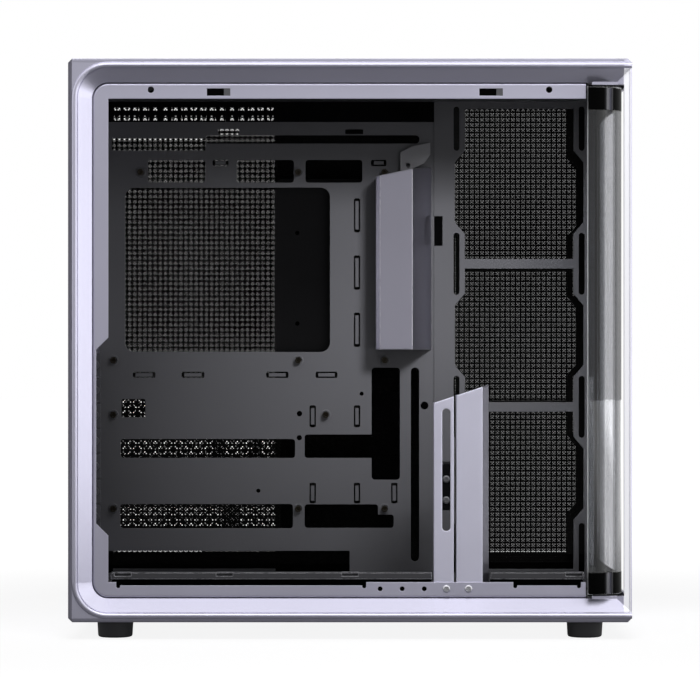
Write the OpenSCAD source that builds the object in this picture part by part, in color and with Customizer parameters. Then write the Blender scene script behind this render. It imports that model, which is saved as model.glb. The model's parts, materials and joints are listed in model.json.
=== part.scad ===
// Desktop computer case with two chambers, a bent glass front corner and an open side.
// Millimetres. +Z is up, the open side faces -Y, the front faces +X, and the origin is on the
// floor under the middle of the case.

/* [Case] */
// Length of the body from back to front
case_d = 440; // [430:1:520]
// Width of the body across both chambers
case_w = 285; // [280:1:340]
// Height of the body above its feet
case_h = 440; // [436:1:520]
// Bevel cut on the four long corners of the body
corner_cut = 3.2; // [1:0.1:5]
// Thickness of the outer covers
cover_t = 2; // [1.2:0.1:3]
// Thickness of the steel sheets
steel_t = 1.2; // [0.8:0.1:1.6]
// Height of the folded edges of the top and bottom covers
cover_fold = 19; // [12:0.5:24]
// Depth of the folded rim of the far side panel
panel_rim = 10; // [6:0.5:16]
// How far the back panel stands inside the covers
back_recess = 8.6; // [6:0.1:12]

/* [Side frame] */
// Flat ledge between the body edge and the lip
ledge_w = 2.8; // [2:0.1:4]
// Depth of that ledge behind the lip
ledge_d = 3; // [2:0.1:4]
// Width of the rounded lip
lip_w = 4.8; // [4:0.1:6]
// Outer radius of the lip at the two back corners
lip_r = 27.8; // [26:0.1:34]
// Width of the sloping bevel inside the lip
bevel_w = 10.4; // [9:0.1:12]
// Depth of the bevel
bevel_d = 12; // [9:0.1:14]
// Wall of the frame
frame_t = 2; // [1.5:0.1:2.4]
// Depth of the frame's outer wall
skirt_d = 18; // [17:0.1:20]
// Width of the slim bar in front of the glass corner
bar_w = 5.8; // [5:0.1:7]
// Depth of that bar
bar_d = 8; // [6:0.1:10]
// Edge of the frame above and below the glass, from the body's outside
sill_w = 20; // [19:0.1:22]

/* [Opening flange] */
// Distance from the body's outside to the opening
opening_in = 30.6; // [28:0.1:36]
// Radius of the rolled edge of the flange
fold_r = 2.2; // [1.8:0.1:3]
// Distance from the front to the end of the flange
flange_end = 35.2; // [34:0.1:44]
// Depth of the relief beside the card slots
relief = 9.5; // [6:0.1:10]
// Radius of the round panel holes
panel_hole_r = 2.5; // [2:0.1:3]
// Distance between the two round panel holes
panel_hole_gap = 312; // [280:1:330]
// Length of the catch slots
catch_len = 18.4; // [14:0.1:24]
// Height of the catch slots
catch_h = 5.7; // [4:0.1:6.5]
// Centres of the two catch slots along the case
catch_x = [-103, 110.5]; // [-180:0.5:180]
// Distance between the small screw holes at the foot of the opening
foot_pitch = 17.3; // [14:0.1:20]
// Radius of those holes
foot_hole_r = 1.9; // [1.5:0.1:2.4]

/* [Glass] */
// Thickness of the bent pane
glass_t = 4; // [3:0.1:5]
// Outer radius of the bend
glass_r = 24; // [18:0.5:28]
// How far the pane stands behind the frame
glass_in = 6; // [4:0.1:7]
// Distance from the flange to the pane
glass_gap = 0.8; // [0.5:0.1:1.5]
// Space above and below the pane
glass_clear = 1.2; // [0.5:0.1:2]
// Height of the black strips inside the pane
strip_h = 18; // [12:0.5:24]
// Adhesive between the pane and its strips
tape_t = 0.3; // [0.2:0.05:0.6]

/* [Motherboard tray] */
// Depth of the tray behind the frame
tray_d = 190; // [180:1:200]
// Bottom edge of the tray above the body's underside
tray_low = 44; // [36:0.5:48]
// Top edge of the tray below the body's top
tray_high = 36.2; // [30:0.1:40]
// First standoff column in front of the back panel
board_back = 11.9; // [10:0.1:14]
// Lowest standoff row above the body's underside
board_low = 79.5; // [76:0.5:84]
// Columns of the board's fixing holes
board_cols = [0, 154.94, 227.33]; // [0:0.01:240]
// Rows of the board's fixing holes
board_rows = [0, 124.46, 281.94]; // [0:0.01:300]
// Row of the short board's lowest holes
short_row = 78.74; // [70:0.01:90]
// Column of the short board's second hole in that row
short_col = 178; // [160:0.5:190]
// Radius of a standoff
standoff_r = 2.9; // [2.6:0.1:3]
// Height of a standoff
standoff_h = 6.5; // [5:0.1:8]
// Radius of the thread in a standoff
thread_r = 1.5; // [1.4:0.05:1.6]
// Width of the processor cut-out
cpu_w = 172; // [150:1:176]
// Height of the processor cut-out
cpu_h = 138; // [120:1:140]
// Left edge of the processor cut-out from the first standoff column
cpu_x = 9.5; // [8:0.5:12]
// Lower edge of the processor cut-out from the lowest row
cpu_z = 131.3; // [130:0.1:133]
// Corner radius of the processor cut-out
cpu_r = 8; // [4:0.5:14]
// Corner radius of the cable cut-outs
cable_r = 2.5; // [1:0.1:4]
// Width of a tie bridge
tie_w = 5.3; // [4.5:0.1:6]
// Height of a tie bridge above the tray
tie_h = 2.4; // [1.5:0.1:3]
// Length of the tray whose cut-outs keep to the board
keep_x = 161; // [150:1:180]
// Length of the rest, up to the fan bracket
rest_x = 107.8; // [60:0.1:200]
// Height of the tray whose cut-outs keep to the board, above the lowest board row
keep_z = 270; // [269.5:0.5:272]
// Height of the rest, up to the tray's top
rest_z = 54.3; // [20:0.1:130]

/* [Fans] */
// Distance from the front to the column of fans
fan_front = 78.2; // [76:0.1:82]
// Distance between neighbouring fan centres
fan_pitch = 120; // [120:1:126]
// Height of the middle fan above the middle of the body
fan_rise = 4.8; // [0:0.1:8]
// Distance between a fan's fixing slots
fan_screw = 105; // [104:0.5:106]
// Width of the fixing slots
fan_slot_w = 5; // [4:0.1:5.4]
// Half height of a fan opening
fan_half = 56; // [50:0.5:57]
// Half width of a fan opening at its middle
fan_wide = 54; // [51:0.5:54]
// Half width of a fan opening beside the slots
fan_narrow = 45.6; // [40:0.5:48]
// Radius of the round fan openings in the back, top and floor
fan_r = 57; // [50:0.5:58]
// Radius of their fixing holes
fan_hole_r = 2.3; // [2:0.1:2.6]
// Thickness of the filter frames
filter_t = 3; // [2:0.1:4]
// Depth of the side filter's frame
side_filter_d = 14; // [8:0.5:20]
// Width of the filter frames
filter_rim = 7; // [5:0.5:10]
// Thickness of the mesh
mesh_t = 0.6; // [0.4:0.1:1]

/* [Vents] */
// Pitch of the openings in the far side panel
vent_pitch = 17.8; // [14:0.1:24]
// Width of the bars between those openings
vent_bar = 4.4; // [3:0.1:6]
// Plain margin above and below the openings
vent_margin = 24; // [20:0.5:40]
// Length of the field of openings beside the power supply
vent_rear = 141; // [110:1:150]
// Length of the field of openings beside the fans
vent_front = 109; // [100:1:116]
// Pitch of the long slots in the covers and the back
louvre_pitch = 9; // [7:0.1:12]
// Width of those slots
louvre_w = 4; // [2.5:0.1:5]

/* [Card slots] */
// Distance between neighbouring card slots
slot_pitch = 20.32; // [20:0.01:21]
// Number of card slots
slot_n = 7; // [5:1:7]
// Width of a slot cover
slot_w = 18.4; // [17:0.1:18.8]
// Length of a slot cover
slot_len = 112; // [100:0.5:116]
// Width of the openings behind the covers
slot_open = 13; // [11:0.1:15]
// Height of the slot field's lower edge above the lowest board row
slot_low = -11; // [-14:0.5:-8]
// Radius of the screws' knurled heads
knob_r = 4; // [3.5:0.1:4.5]

/* [Cable cover] */
// Left edge of the cable cover from the first standoff column
cover_x = 219.8; // [217:0.1:222]
// Width of its front face
cover_face = 26.9; // [22:0.1:30]
// Width of its chamfer on the board side
cover_chamfer = 3.3; // [2:0.1:5]
// Width of its slanted flank
cover_flank = 16.5; // [12:0.1:17]
// Height of its front face above the tray
cover_up = 40; // [30:0.5:50]
// Lower edge above the lowest board row
cover_low = 133.4; // [120:0.1:140]
// Height at the board side
cover_tall = 143; // [130:0.5:150]
// Rise of its slanted top edge
cover_rise = 10.2; // [4:0.1:14]
// Thickness of its sheet
cover_sheet = 1.5; // [1:0.1:2]

/* [Card holder] */
// Left edge of the holder from the middle of the case
holder_x = 65.7; // [60:0.1:68]
// Width of the rail with the slot
rail_w = 15.6; // [14:0.1:17]
// Gap between the rail and the plate
rail_gap = 2.1; // [1:0.1:3]
// Width of the plate
plate_w = 20.5; // [16:0.1:24]
// Width of the plate's slanted flank
flank_w = 5.1; // [3:0.1:7]
// Height of the rail above the flange
rail_h = 140.4; // [130:0.1:150]
// Rise of the slanted top edge across both plates
holder_rise = 12.6; // [6:0.1:16]
// Thickness of the holder's sheets
holder_t = 1.5; // [1:0.1:2]
// Depth of the holder's folded sides
holder_d = 22; // [16:0.5:30]
// Width of the slot for the arm
arm_slot_w = 6.5; // [6:0.1:7]
// Height of the slot for the arm
arm_slot_h = 96; // [80:0.5:100]
// Lower end of the slot above the flange
arm_slot_low = 40; // [30:0.5:44]
// Distance between the arm's screws
arm_pitch = 16.4; // [14:0.1:20]
// Height of the arm's lower screw above the flange
arm_low = 64.2; // [62:0.1:66]
// Radius of the arm's screw heads
arm_head_r = 2.9; // [2.6:0.1:3]
// Reach of the arm's shelf into the case
arm_reach = 54; // [40:0.5:70]
// Running gap of the arm behind the rail
arm_gap = 0.3; // [0.2:0.05:0.5]

/* [Front ports] */
// Radius of the power button
button_r = 7; // [5:0.1:9]
// Gap round the button
button_gap = 0.4; // [0.3:0.05:0.6]
// Travel of the button
button_travel = 1.2; // [0.8:0.1:1.5]
// How far the button stands proud
button_proud = 1.6; // [1.5:0.1:2.5]
// Distance of the button below the top of the body
button_in = 44; // [40:1:60]
// Distance between neighbouring ports
port_pitch = 21; // [19:0.5:26]

/* [Second chamber] */
// Gap between the power supply and the far side panel
psu_side = 5.1; // [4:0.1:8]
// Height of the power supply's bay
psu_h = 150; // [148:1:152]
// Radius of the power supply's screw holes
psu_hole_r = 1.9; // [1.6:0.1:2.2]
// Left edge of the drive bracket from the first standoff column
drive_x = 134.8; // [130:0.1:140]
// Width of the drive bracket
drive_w = 108; // [102:1:116]
// Height of the drive bracket
drive_h = 152; // [140:1:160]
// Distance of the drive bracket behind the tray
drive_off = 16; // [12:0.5:24]

/* [Feet] */
// Height of the feet
foot_h = 14; // [8:0.5:20]
// Radius of a foot at its top
foot_r = 14.3; // [10:0.1:18]
// Distance of a foot's axis from the body's ends
foot_in = 34.5; // [28:0.5:50]
// Distance of a foot's axis from the body's sides
foot_side = 36; // [28:0.5:50]

/* [Hidden] */
$fn = 40;
eps = 0.01;

x_back = -case_d / 2;
x_front = case_d / 2;
y_near = -case_w / 2;
y_far = case_w / 2;
z_low = foot_h;
z_top = foot_h + case_h;

// The frame's edges, measured inwards from the body's outside
lip_in = ledge_w + lip_w;
ring_w = lip_in + bevel_w;
corner_r = ledge_w + lip_r;
flat_in = ring_w + fold_r;

// The chassis box inside the covers
back_x = x_back + back_recess + steel_t;
floor_z = z_low + ring_w + steel_t;
roof_z = z_top - ring_w - steel_t;
deck_y = y_near + skirt_d;
flange_y = y_near + bevel_d + 0.6;
flange_x = x_front - flange_end;
open_z0 = z_low + opening_in;
open_z1 = z_top - opening_in;
open_x0 = x_back + opening_in;
tray_y = y_near + tray_d;
panel_y = y_far - steel_t;
glass_x = x_front - glass_in;
glass_y = y_near + glass_in;
glass_x0 = flange_x + glass_gap;
glass_z0 = z_low + sill_w + glass_clear;
glass_z1 = z_top - sill_w - glass_clear;
column_y = tray_y - 2.5;
button_z = z_top - button_in;

// The board's datum: its first column and its lowest row
board_x = back_x + board_back;
board_z = z_low + board_low;
holes = [
    for (c = board_cols, r = board_rows) [c == 0 && r == board_rows[2] ? 22.86 : c, r],
    [0, short_row],
    [short_col, short_row]
];

// Fans
fan_x = x_front - fan_front;
fan_z = (z_low + z_top) / 2 + fan_rise;
fan_rows = [fan_z - fan_pitch, fan_z, fan_z + fan_pitch];
bracket_x0 = fan_x - fan_screw / 2 - 18.8;
bracket_x1 = fan_x + fan_screw / 2 + 11.7;
// Top of the dust filter's frame
filter_z1 = z_top - 14.5;

// The tray's cut-outs beyond the board share out what is left of its length and height
scale_x = (bracket_x0 - board_x - keep_x) / rest_x;
scale_z = (z_top - tray_high - board_z - keep_z) / rest_z;

deck_fans = [-110, 14, 138];
deck_fan_y = (deck_y + tray_y) / 2 - 2;
rear_fan_z = board_z + board_rows[2] - 52;

// Card slots and the connector plate of the board
board_face = tray_y - standoff_h - 1.57;
slot_z0 = board_z + slot_low;
slot_y1 = board_face + 4;
slot_y0 = slot_y1 - slot_len;
plate_hole = [158.75, 44.45];
plate_z0 = board_z + board_rows[2] + 14 - plate_hole.x;
plate_y1 = board_face + 2;
rear_fan_y = plate_y1 - plate_hole.y - 60.3;

// Tie bridges: x, z, length and 1 where upright, from the board's datum
ties = [
    [204.2, 246, 27.8, 1],
    [204.2, 198, 28, 1],
    [204.2, 150, 28, 1],
    [25.6, 112.2, 18.2, 0],
    [66.6, 112.2, 18.4, 0],
    [137.3, 112.2, 18, 0],
    [178.6, 112.2, 17.6, 0],
    [167, 77.4, 17.7, 1],
    [204.2, 77.4, 17.7, 1],
    [167, 13, 16.6, 1],
    [204.2, 13, 16.6, 1],
    [235.5, 13, 16.6, 1],
    [89.7, 289.9, 12.6, 0],
    [222.4, 289.9, 12.2, 0]
];

// Power supply and its fixing holes, from the bay's lower corner
psu_y0 = tray_y + steel_t + 1.5;
psu_w = panel_y - psu_side - psu_y0;
psu_z0 = floor_z + 5;
psu_holes = [[6, 6], [6, 144], [psu_w - 16, 6], [psu_w - 6, 120]];

// Fields of openings in the far side panel, from and to along the case
vent_fields = [
    [x_back + 13, x_back + 13 + vent_rear],
    [x_front - 20 - vent_front, x_front - 20]
];

// The holder's places
rail_x1 = holder_x + rail_w;
plate_x0 = rail_x1 + rail_gap;
plate_x1 = plate_x0 + plate_w;
holder_y = flange_y + steel_t;
arm_x = (holder_x + rail_x1) / 2 + 2;
arm_z = open_z0 + arm_low;

// Sheets: the children are drawn in the plane named by the other two axes

module wall_y(y, t) {
    translate([0, y + t, 0])
        rotate([90, 0, 0])
            linear_extrude(t)
                children();
}

module wall_x(x, t) {
    translate([x, 0, 0])
        rotate([90, 0, 90])
            linear_extrude(t)
                children();
}

module wall_z(z, t) {
    translate([0, 0, z])
        linear_extrude(t)
            children();
}

// Flat shapes given by their edges

module span(x0, x1, z0, z1) {
    translate([x0, z0])
        square([x1 - x0, z1 - z0]);
}

module rounded(x0, x1, z0, z1, r) {
    span(x0 + r, x1 - r, z0, z1);
    span(x0, x1, z0 + r, z1 - r);
    for (x = [x0 + r, x1 - r], z = [z0 + r, z1 - r])
        translate([x, z])
            circle(r);
}

module slot_up(x, z0, z1, w) {
    span(x - w / 2, x + w / 2, z0 + w / 2, z1 - w / 2);
    for (z = [z0 + w / 2, z1 - w / 2])
        translate([x, z])
            circle(w / 2);
}

module slot_along(x0, x1, z, w) {
    span(x0 + w / 2, x1 - w / 2, z - w / 2, z + w / 2);
    for (x = [x0 + w / 2, x1 - w / 2])
        translate([x, z])
            circle(w / 2);
}

// Outline of the body seen from the side, drawn in by an inset
module body_outline(inset = 0) {
    c = corner_cut - inset * (2 - sqrt(2));
    x0 = x_back + inset;
    x1 = x_front - inset;
    z0 = z_low + inset;
    z1 = z_top - inset;
    polygon([
        [x0 + c, z0], [x1 - c, z0], [x1, z0 + c], [x1, z1 - c],
        [x1 - c, z1], [x0 + c, z1], [x0, z1 - c], [x0, z0 + c]
    ]);
}

// A sheet of square openings as one outline with many holes
module square_grid(x0, x1, z0, z1, pitch, bar) {
    nx = floor((x1 - x0 - bar) / pitch);
    nz = floor((z1 - z0 - bar) / pitch);
    hole = pitch - bar;
    left = (x0 + x1 - nx * pitch + bar) / 2;
    low = (z0 + z1 - nz * pitch + bar) / 2;
    corners = [[0, 0], [hole, 0], [hole, hole], [0, hole]];
    for (i = [0 : nx - 1], k = [0 : nz - 1])
        translate([left + i * pitch, low + k * pitch])
            polygon(corners);
}

// A rim profile of (inwards, depth) pairs carried round the opening: along the bottom, round the
// two back corners, up the back and along the top, up to x1
module rim_sweep(profile, x1) {
    run_x = x1 - x_back - corner_r;
    run_z = case_h - 2 * corner_r;
    turned = [for (p = profile) [corner_r - p.x, p.y]];
    translate([x_back + corner_r, y_near, z_top])
        rotate([0, 90, 0])
            linear_extrude(run_x)
                polygon(profile);
    translate([x1, y_near, z_low])
        rotate([0, -90, 0])
            linear_extrude(run_x)
                polygon(profile);
    translate([x_back, y_near, z_low + corner_r])
        linear_extrude(run_z)
            polygon(profile);
    for (end = [[z_top - corner_r, 180], [z_low + corner_r, 90]])
        translate([x_back + corner_r, y_near, end[0]])
            rotate([-90, 0, 0])
                rotate([0, 0, end[1]])
                    rotate_extrude(angle = 90)
                        polygon(turned);
}

// Lip and bevel of the side frame in section
function lip_profile() = concat(
    [[ledge_w, ledge_d + frame_t], [ledge_w, lip_w / 2]],
    [for (a = [165 : -15 : 15])
        [ledge_w + lip_w / 2 * (1 + cos(a)), lip_w / 2 * (1 - sin(a))]],
    [
        [lip_in, lip_w / 2],
        [ring_w, bevel_d],
        [ring_w, bevel_d + 0.5],
        [ring_w - frame_t, bevel_d + 0.5],
        [lip_in - 1, ledge_d + frame_t]
    ]
);

module side_frame() {
    color("lavender") {
        rim_sweep(lip_profile(), x_front);
        wall_y(y_near + ledge_d, frame_t)
            difference() {
                body_outline();
                rounded(x_back + lip_in - 1, x_front + 60, z_low + lip_in - 1,
                    z_top - lip_in + 1, corner_r - lip_in + 1);
            }
        difference() {
            wall_y(y_near + ledge_d, skirt_d - ledge_d)
                difference() {
                    body_outline();
                    body_outline(frame_t);
                }
            translate([x_front - bar_w, y_near + bar_d, z_low + sill_w])
                cube([bar_w + 1, skirt_d, case_h - 2 * sill_w]);
        }
        front_bar();
        for (z = [z_low + ring_w - 1, z_top - sill_w])
            wall_y(y_near + bevel_d - 0.5, 1)
                span(x_front - corner_r, x_front - frame_t / 2, z, z + sill_w - ring_w + 1);
    }
}

// Upright front bevel: whole at its two ends, a slim bar in front of the glass
module front_bar() {
    profile = [
        [0, bar_d], [0, ledge_d], [1, lip_w / 2], [1 + bevel_w, bevel_d],
        [1 + bevel_w, bevel_d + 0.5], [bevel_w - 1, bevel_d + 0.5], [frame_t, bar_d]
    ];
    difference() {
        translate([x_front, y_near, z_top - ledge_w - 1])
            rotate([0, 180, 0])
                linear_extrude(case_h - 2 * ledge_w - 2)
                    polygon(profile);
        translate([x_front - bevel_w - 4, y_near - 1, z_low + sill_w])
            cube([bevel_w + 4 - bar_w, bevel_d + 4, case_h - 2 * sill_w]);
    }
}

// Rolled outer edge of the flange in section
function roll_profile() = concat(
    [for (a = [0 : 15 : 90])
        [flat_in - fold_r * sin(a), bevel_d + 0.6 + fold_r * (1 - cos(a))]],
    [[ring_w, skirt_d], [ring_w + steel_t, skirt_d]],
    [for (a = [90 : -30 : 0])
        [flat_in - (fold_r - steel_t) * sin(a),
            bevel_d + 0.6 + fold_r - (fold_r - steel_t) * cos(a)]]
);

module opening_flange() {
    color("thistle") {
        rim_sweep(roll_profile(), flange_x);
        wall_y(flange_y, steel_t)
            difference() {
                rounded(x_back + flat_in, flange_x + 60, z_low + flat_in, z_top - flat_in,
                    corner_r - flat_in);
                span(flange_x, x_front + 80, z_low, z_top);
                span(open_x0, flange_x + 1, open_z0, open_z1);
                card_relief();
                foot_relief();
                for (s = [-1, 1])
                    translate([s * panel_hole_gap / 2, open_z1 + 7])
                        circle(panel_hole_r);
                for (x = catch_x)
                    span(x - catch_len / 2, x + catch_len / 2, open_z1 + 2.3,
                        open_z1 + 2.3 + catch_h);
                for (i = [-3 : 1])
                    translate([foot_screw_x(i), open_z0 - 5.2])
                        circle(foot_hole_r);
            }
    }
}

// Places of the small holes at the foot of the opening; 0 and 1 lie under the holder
function foot_screw_x(i) = holder_x + 9.8 + i * foot_pitch;

// Recess beside the card slots with slanted ends
module card_relief() {
    z0 = slot_z0 + 8;
    z1 = slot_z0 + slot_n * slot_pitch + 2;
    x = open_x0 - relief;
    polygon([
        [open_x0 + 1, z0 - relief - 1], [x, z0], [x, z1], [open_x0 + 1, z1 + relief + 1]
    ]);
}

// Lowered stretches of the bottom edge with round ends
module foot_relief() {
    drop = 2.6;
    for (part = [[open_x0 + 6.2, holder_x - 53], [plate_x1 + 24, flange_x - 3.8]]) {
        span(part[0], part[1], open_z0 - drop, open_z0 + 1);
        for (x = [part[0] + 1.6, part[1] - 1.6])
            translate([x, open_z0 - drop - 0.6])
                circle(1.6);
    }
}

module catch_clips() {
    color("dimgray")
        for (x = catch_x)
            translate([x + catch_len / 2 - 5, flange_y + 0.2, open_z1 + 2.3]) {
                cube([4.8, 8, catch_h]);
                translate([-14, steel_t, -1.6])
                    cube([22, 1.4, catch_h + 3.2]);
            }
}

// Outer covers: a band of the body's outline, above or below
module cover_band(z0, z1) {
    wall_y(deck_y, y_far - panel_rim - deck_y)
        intersection() {
            difference() {
                body_outline();
                body_outline(cover_t);
            }
            span(x_back - 1, x_front + 1, z0, z1);
        }
}

// Rows of long slots cut straight down through a cover
module louvres(z) {
    n = floor((case_d - 110) / louvre_pitch);
    for (row = [0, 1, 2], i = [0 : n - 1])
        translate([0, 0, z - 1])
            linear_extrude(cover_t + 2)
                slot_up(-(n - 1) * louvre_pitch / 2 + i * louvre_pitch,
                    deck_y + 16 + row * 74, deck_y + 80 + row * 74, louvre_w);
}

module top_cover() {
    color("lavender")
        difference() {
            cover_band(z_top - cover_fold, z_top + 1);
            louvres(z_top - cover_t);
        }
}

module bottom_cover() {
    color("lavender")
        difference() {
            cover_band(z_low - 1, z_low + cover_fold);
            louvres(z_low);
        }
}

module right_panel() {
    color("lavender") {
        wall_y(panel_y, steel_t)
            difference() {
                body_outline();
                for (f = vent_fields)
                    square_grid(f[0], f[1], z_low + vent_margin, z_top - vent_margin,
                        vent_pitch, vent_bar);
            }
        wall_y(y_far - panel_rim, panel_rim)
            difference() {
                body_outline();
                body_outline(steel_t);
            }
        // Two tabs that the thumb screws hold
        for (z = panel_screw_z())
            translate([back_x - 2 * steel_t, y_far - 26, z - 9])
                cube([steel_t, 26 - steel_t / 2, 18]);
    }
}

function panel_screw_z() = [z_low + 14, z_top - 60];

module panel_screws() {
    color("silver")
        for (z = panel_screw_z())
            thumb_screw([back_x - 2 * steel_t, y_far - 18, z]);
}

// A thumb screw seen from the back: knurled head and cross recess
module thumb_screw(p) {
    translate(p)
        rotate([0, -90, 0])
            difference() {
                union() {
                    cylinder(h = 4, r = knob_r, $fn = 24);
                    cylinder(h = 4.8, r = knob_r - 1);
                }
                for (a = [0, 90])
                    rotate([0, 0, a])
                        translate([-2, -0.5, 3.6])
                            cube([4, 1, 2]);
            }
}

module rear_panel() {
    color("gainsboro") {
        difference() {
            wall_x(back_x - steel_t, steel_t)
                difference() {
                    span(deck_y, panel_y, z_low + cover_t, z_top - cover_t);
                    span(plate_y1 - plate_hole.y, plate_y1, plate_z0, plate_z0 + plate_hole.x);
                    for (i = [0 : slot_n - 1])
                        span(slot_y0 + 14, slot_y1 - 8,
                            slot_z0 + (i + 0.5) * slot_pitch - slot_open / 2,
                            slot_z0 + (i + 0.5) * slot_pitch + slot_open / 2);
                    fan_screws(rear_fan_y, rear_fan_z);
                    rear_grille();
                    psu_cut();
                }
        }
        // Near edge folded to meet the flange
        wall_y(deck_y, steel_t)
            span(back_x - steel_t, x_back + ring_w + steel_t, z_low + cover_t, z_top - cover_t);
    }
}

module fan_screws(x, y) {
    for (sx = [-1, 1], sy = [-1, 1])
        translate([x + sx * fan_screw / 2, y + sy * fan_screw / 2])
            circle(fan_hole_r);
}

// Rear fan grille: long slots within the fan's circle
module rear_grille() {
    n = floor(2 * (fan_r - 6) / louvre_pitch);
    for (i = [0 : n - 1]) {
        u = (i - (n - 1) / 2) * louvre_pitch;
        half = sqrt(fan_r * fan_r - u * u);
        for (s = [[-half, -2], [2, half]])
            slot_along(rear_fan_y + s[0], rear_fan_y + s[1], rear_fan_z + u, louvre_w);
    }
}

module psu_cut() {
    rounded(psu_y0 + 11, psu_y0 + psu_w - 11, psu_z0 + 11, psu_z0 + psu_h - 11, 3);
    for (h = psu_holes)
        translate([psu_y0 + h[0], psu_z0 + h[1]])
            circle(psu_hole_r);
}

// Plan of the bent pane, drawn in from its outer face, with the given thickness
module glass_plan(inset, t, x0, y1) {
    r = glass_r - inset;
    cx = glass_x - glass_r;
    cy = glass_y + glass_r;
    translate([x0, glass_y + inset])
        square([cx - x0, t]);
    translate([glass_x - inset - t, cy])
        square([t, y1 - cy]);
    intersection() {
        difference() {
            translate([cx, cy])
                circle(r, $fn = 60);
            translate([cx, cy])
                circle(r - t, $fn = 60);
        }
        translate([cx, cy - glass_r - 1])
            square([glass_r + 1, glass_r + 1]);
    }
}

module front_glass() {
    color("lightcyan", 0.35)
        wall_z(glass_z0, glass_z1 - glass_z0)
            glass_plan(0, glass_t, glass_x0, column_y - 0.4);
}

module glass_strip() {
    glass_plan(glass_t + tape_t, steel_t, glass_x0 + 1, column_y - 1);
}

module glass_top_strip() {
    color("black")
        wall_z(glass_z1 - strip_h, z_top - sill_w - glass_z1 + strip_h)
            glass_strip();
}

module glass_bottom_strip() {
    color("black")
        wall_z(z_low + sill_w, glass_z0 + strip_h - z_low - sill_w)
            glass_strip();
}

// Closed front of the second chamber, folded back at both sides
module front_column() {
    color("lavender")
        difference() {
            wall_z(floor_z, roof_z - floor_z)
                polygon([
                    [glass_x, column_y], [glass_x, panel_y], [glass_x - 8, panel_y],
                    [glass_x - 8, panel_y - cover_t], [glass_x - cover_t, panel_y - cover_t],
                    [glass_x - cover_t, tray_y + cover_t], [glass_x - 15, tray_y + cover_t],
                    [glass_x - 15, tray_y], [glass_x - cover_t, tray_y],
                    [glass_x - cover_t, column_y]
                ]);
            translate([glass_x - 5, port_y(), button_z])
                rotate([0, 90, 0])
                    cylinder(h = 10, r = button_r + button_gap);
            for (i = [0 : 3])
                translate([glass_x - 5, port_y(), port_z(i)])
                    port_hole(i, 10);
        }
}

function port_y() = (column_y + panel_y) / 2;
function port_z(i) = button_z - 26 - i * port_pitch;

// Ports from the top: round audio, small oval, two flat
module port_hole(i, h, grow = 0) {
    rotate([0, 90, 0]) {
        if (i == 0)
            cylinder(h = h, r = 3 + grow);
        if (i == 1)
            linear_extrude(h)
                slot_up(0, -4.8 - grow, 4.8 + grow, 3.6 + 2 * grow);
        if (i > 1)
            linear_extrude(h)
                square([5.6 + 2 * grow, 13.2 + 2 * grow], center = true);
    }
}

module power_button() {
    color("silver")
        translate([glass_x - cover_t - 3, port_y(), button_z])
            rotate([0, 90, 0]) {
                cylinder(h = cover_t + 3 + button_proud, r = button_r);
                translate([0, 0, 2])
                    cylinder(h = 1, r = button_r + 1.4);
            }
}

module port_sockets() {
    color("silver")
        for (i = [0 : 3])
            translate([glass_x - cover_t - 9, port_y(), port_z(i)])
                difference() {
                    port_hole(i, cover_t + 8.6, -0.15);
                    translate([1.4, 0, 0])
                        port_hole(i, 20, -0.75);
                }
}

module io_board() {
    z1 = button_z + 12;
    z0 = port_z(3) - 12;
    color("darkgreen")
        translate([glass_x - cover_t - 10.6, port_y() - 12, z0])
            cube([1.6, 24, z1 - z0]);
    // Switch under the button and two stand-offs that carry the board
    color("dimgray") {
        translate([glass_x - cover_t - 9, port_y() - 3, button_z - 3])
            cube([4.5, 6, 6]);
        for (z = [z1 - 4, z0 + 4])
            translate([glass_x - cover_t - 9, port_y() + 8, z])
                rotate([0, 90, 0])
                    cylinder(h = 9, r = 2.4);
    }
}

// Round fan openings of the top plate and the floor
module deck_openings() {
    for (x = deck_fans)
        translate([x, deck_fan_y]) {
            circle(fan_r, $fn = 60);
            for (sx = [-1, 1], sy = [-1, 1])
                translate([sx * fan_screw / 2, sy * fan_screw / 2])
                    circle(fan_hole_r);
        }
}

module deck_outline(y1) {
    // Drawn in at the back, clear of the back panel's folded edge
    span(back_x, glass_x - cover_t, deck_y + steel_t + 0.3, y1);
    span(x_back + ring_w + steel_t + 0.3, glass_x - cover_t, deck_y, deck_y + 3);
    span(flange_x + glass_gap, glass_x - cover_t, y_near + bevel_d + 1, deck_y + 1);
}

module chassis_top() {
    color("dimgray") {
        wall_z(roof_z, steel_t)
            difference() {
                deck_outline(tray_y + steel_t);
                deck_openings();
            }
        // Step up over the second chamber
        wall_y(tray_y, steel_t)
            span(back_x, glass_x - cover_t, roof_z, z_top - cover_t);
        wall_z(z_top - cover_t - steel_t, steel_t)
            difference() {
                span(back_x, glass_x - cover_t, tray_y, y_far - panel_rim);
                for (i = [-2 : 2])
                    span(i * 76 - 32, i * 76 + 32, tray_y + 18, y_far - panel_rim - 14);
            }
    }
}

module chassis_bottom() {
    color("dimgray")
        wall_z(floor_z - steel_t, steel_t)
            difference() {
                deck_outline(panel_y);
                deck_openings();
                span(back_x + 20, back_x + 150, psu_y0 + 10, psu_y0 + psu_w - 12);
            }
}

// A filter frame with cross bars and its mesh, lying on the floor or the top plate
module flat_filter(z, mesh_z) {
    x0 = deck_fans[0] - fan_r - filter_rim;
    x1 = deck_fans[2] + fan_r + filter_rim;
    y0 = deck_fan_y - fan_r - filter_rim;
    y1 = deck_fan_y + fan_r + filter_rim;
    wall_z(z, filter_t)
        difference() {
            rounded(x0, x1, y0, y1, 6);
            for (x = deck_fans)
                rounded(x - fan_r, x + fan_r, y0 + filter_rim, y1 - filter_rim, 4);
        }
    wall_z(mesh_z, mesh_t)
        span(x0 + 2, x1 - 2, y0 + 2, y1 - 2);
}

module top_filter() {
    color("black")
        flat_filter(roof_z + steel_t, roof_z + steel_t + filter_t - mesh_t);
}

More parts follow.
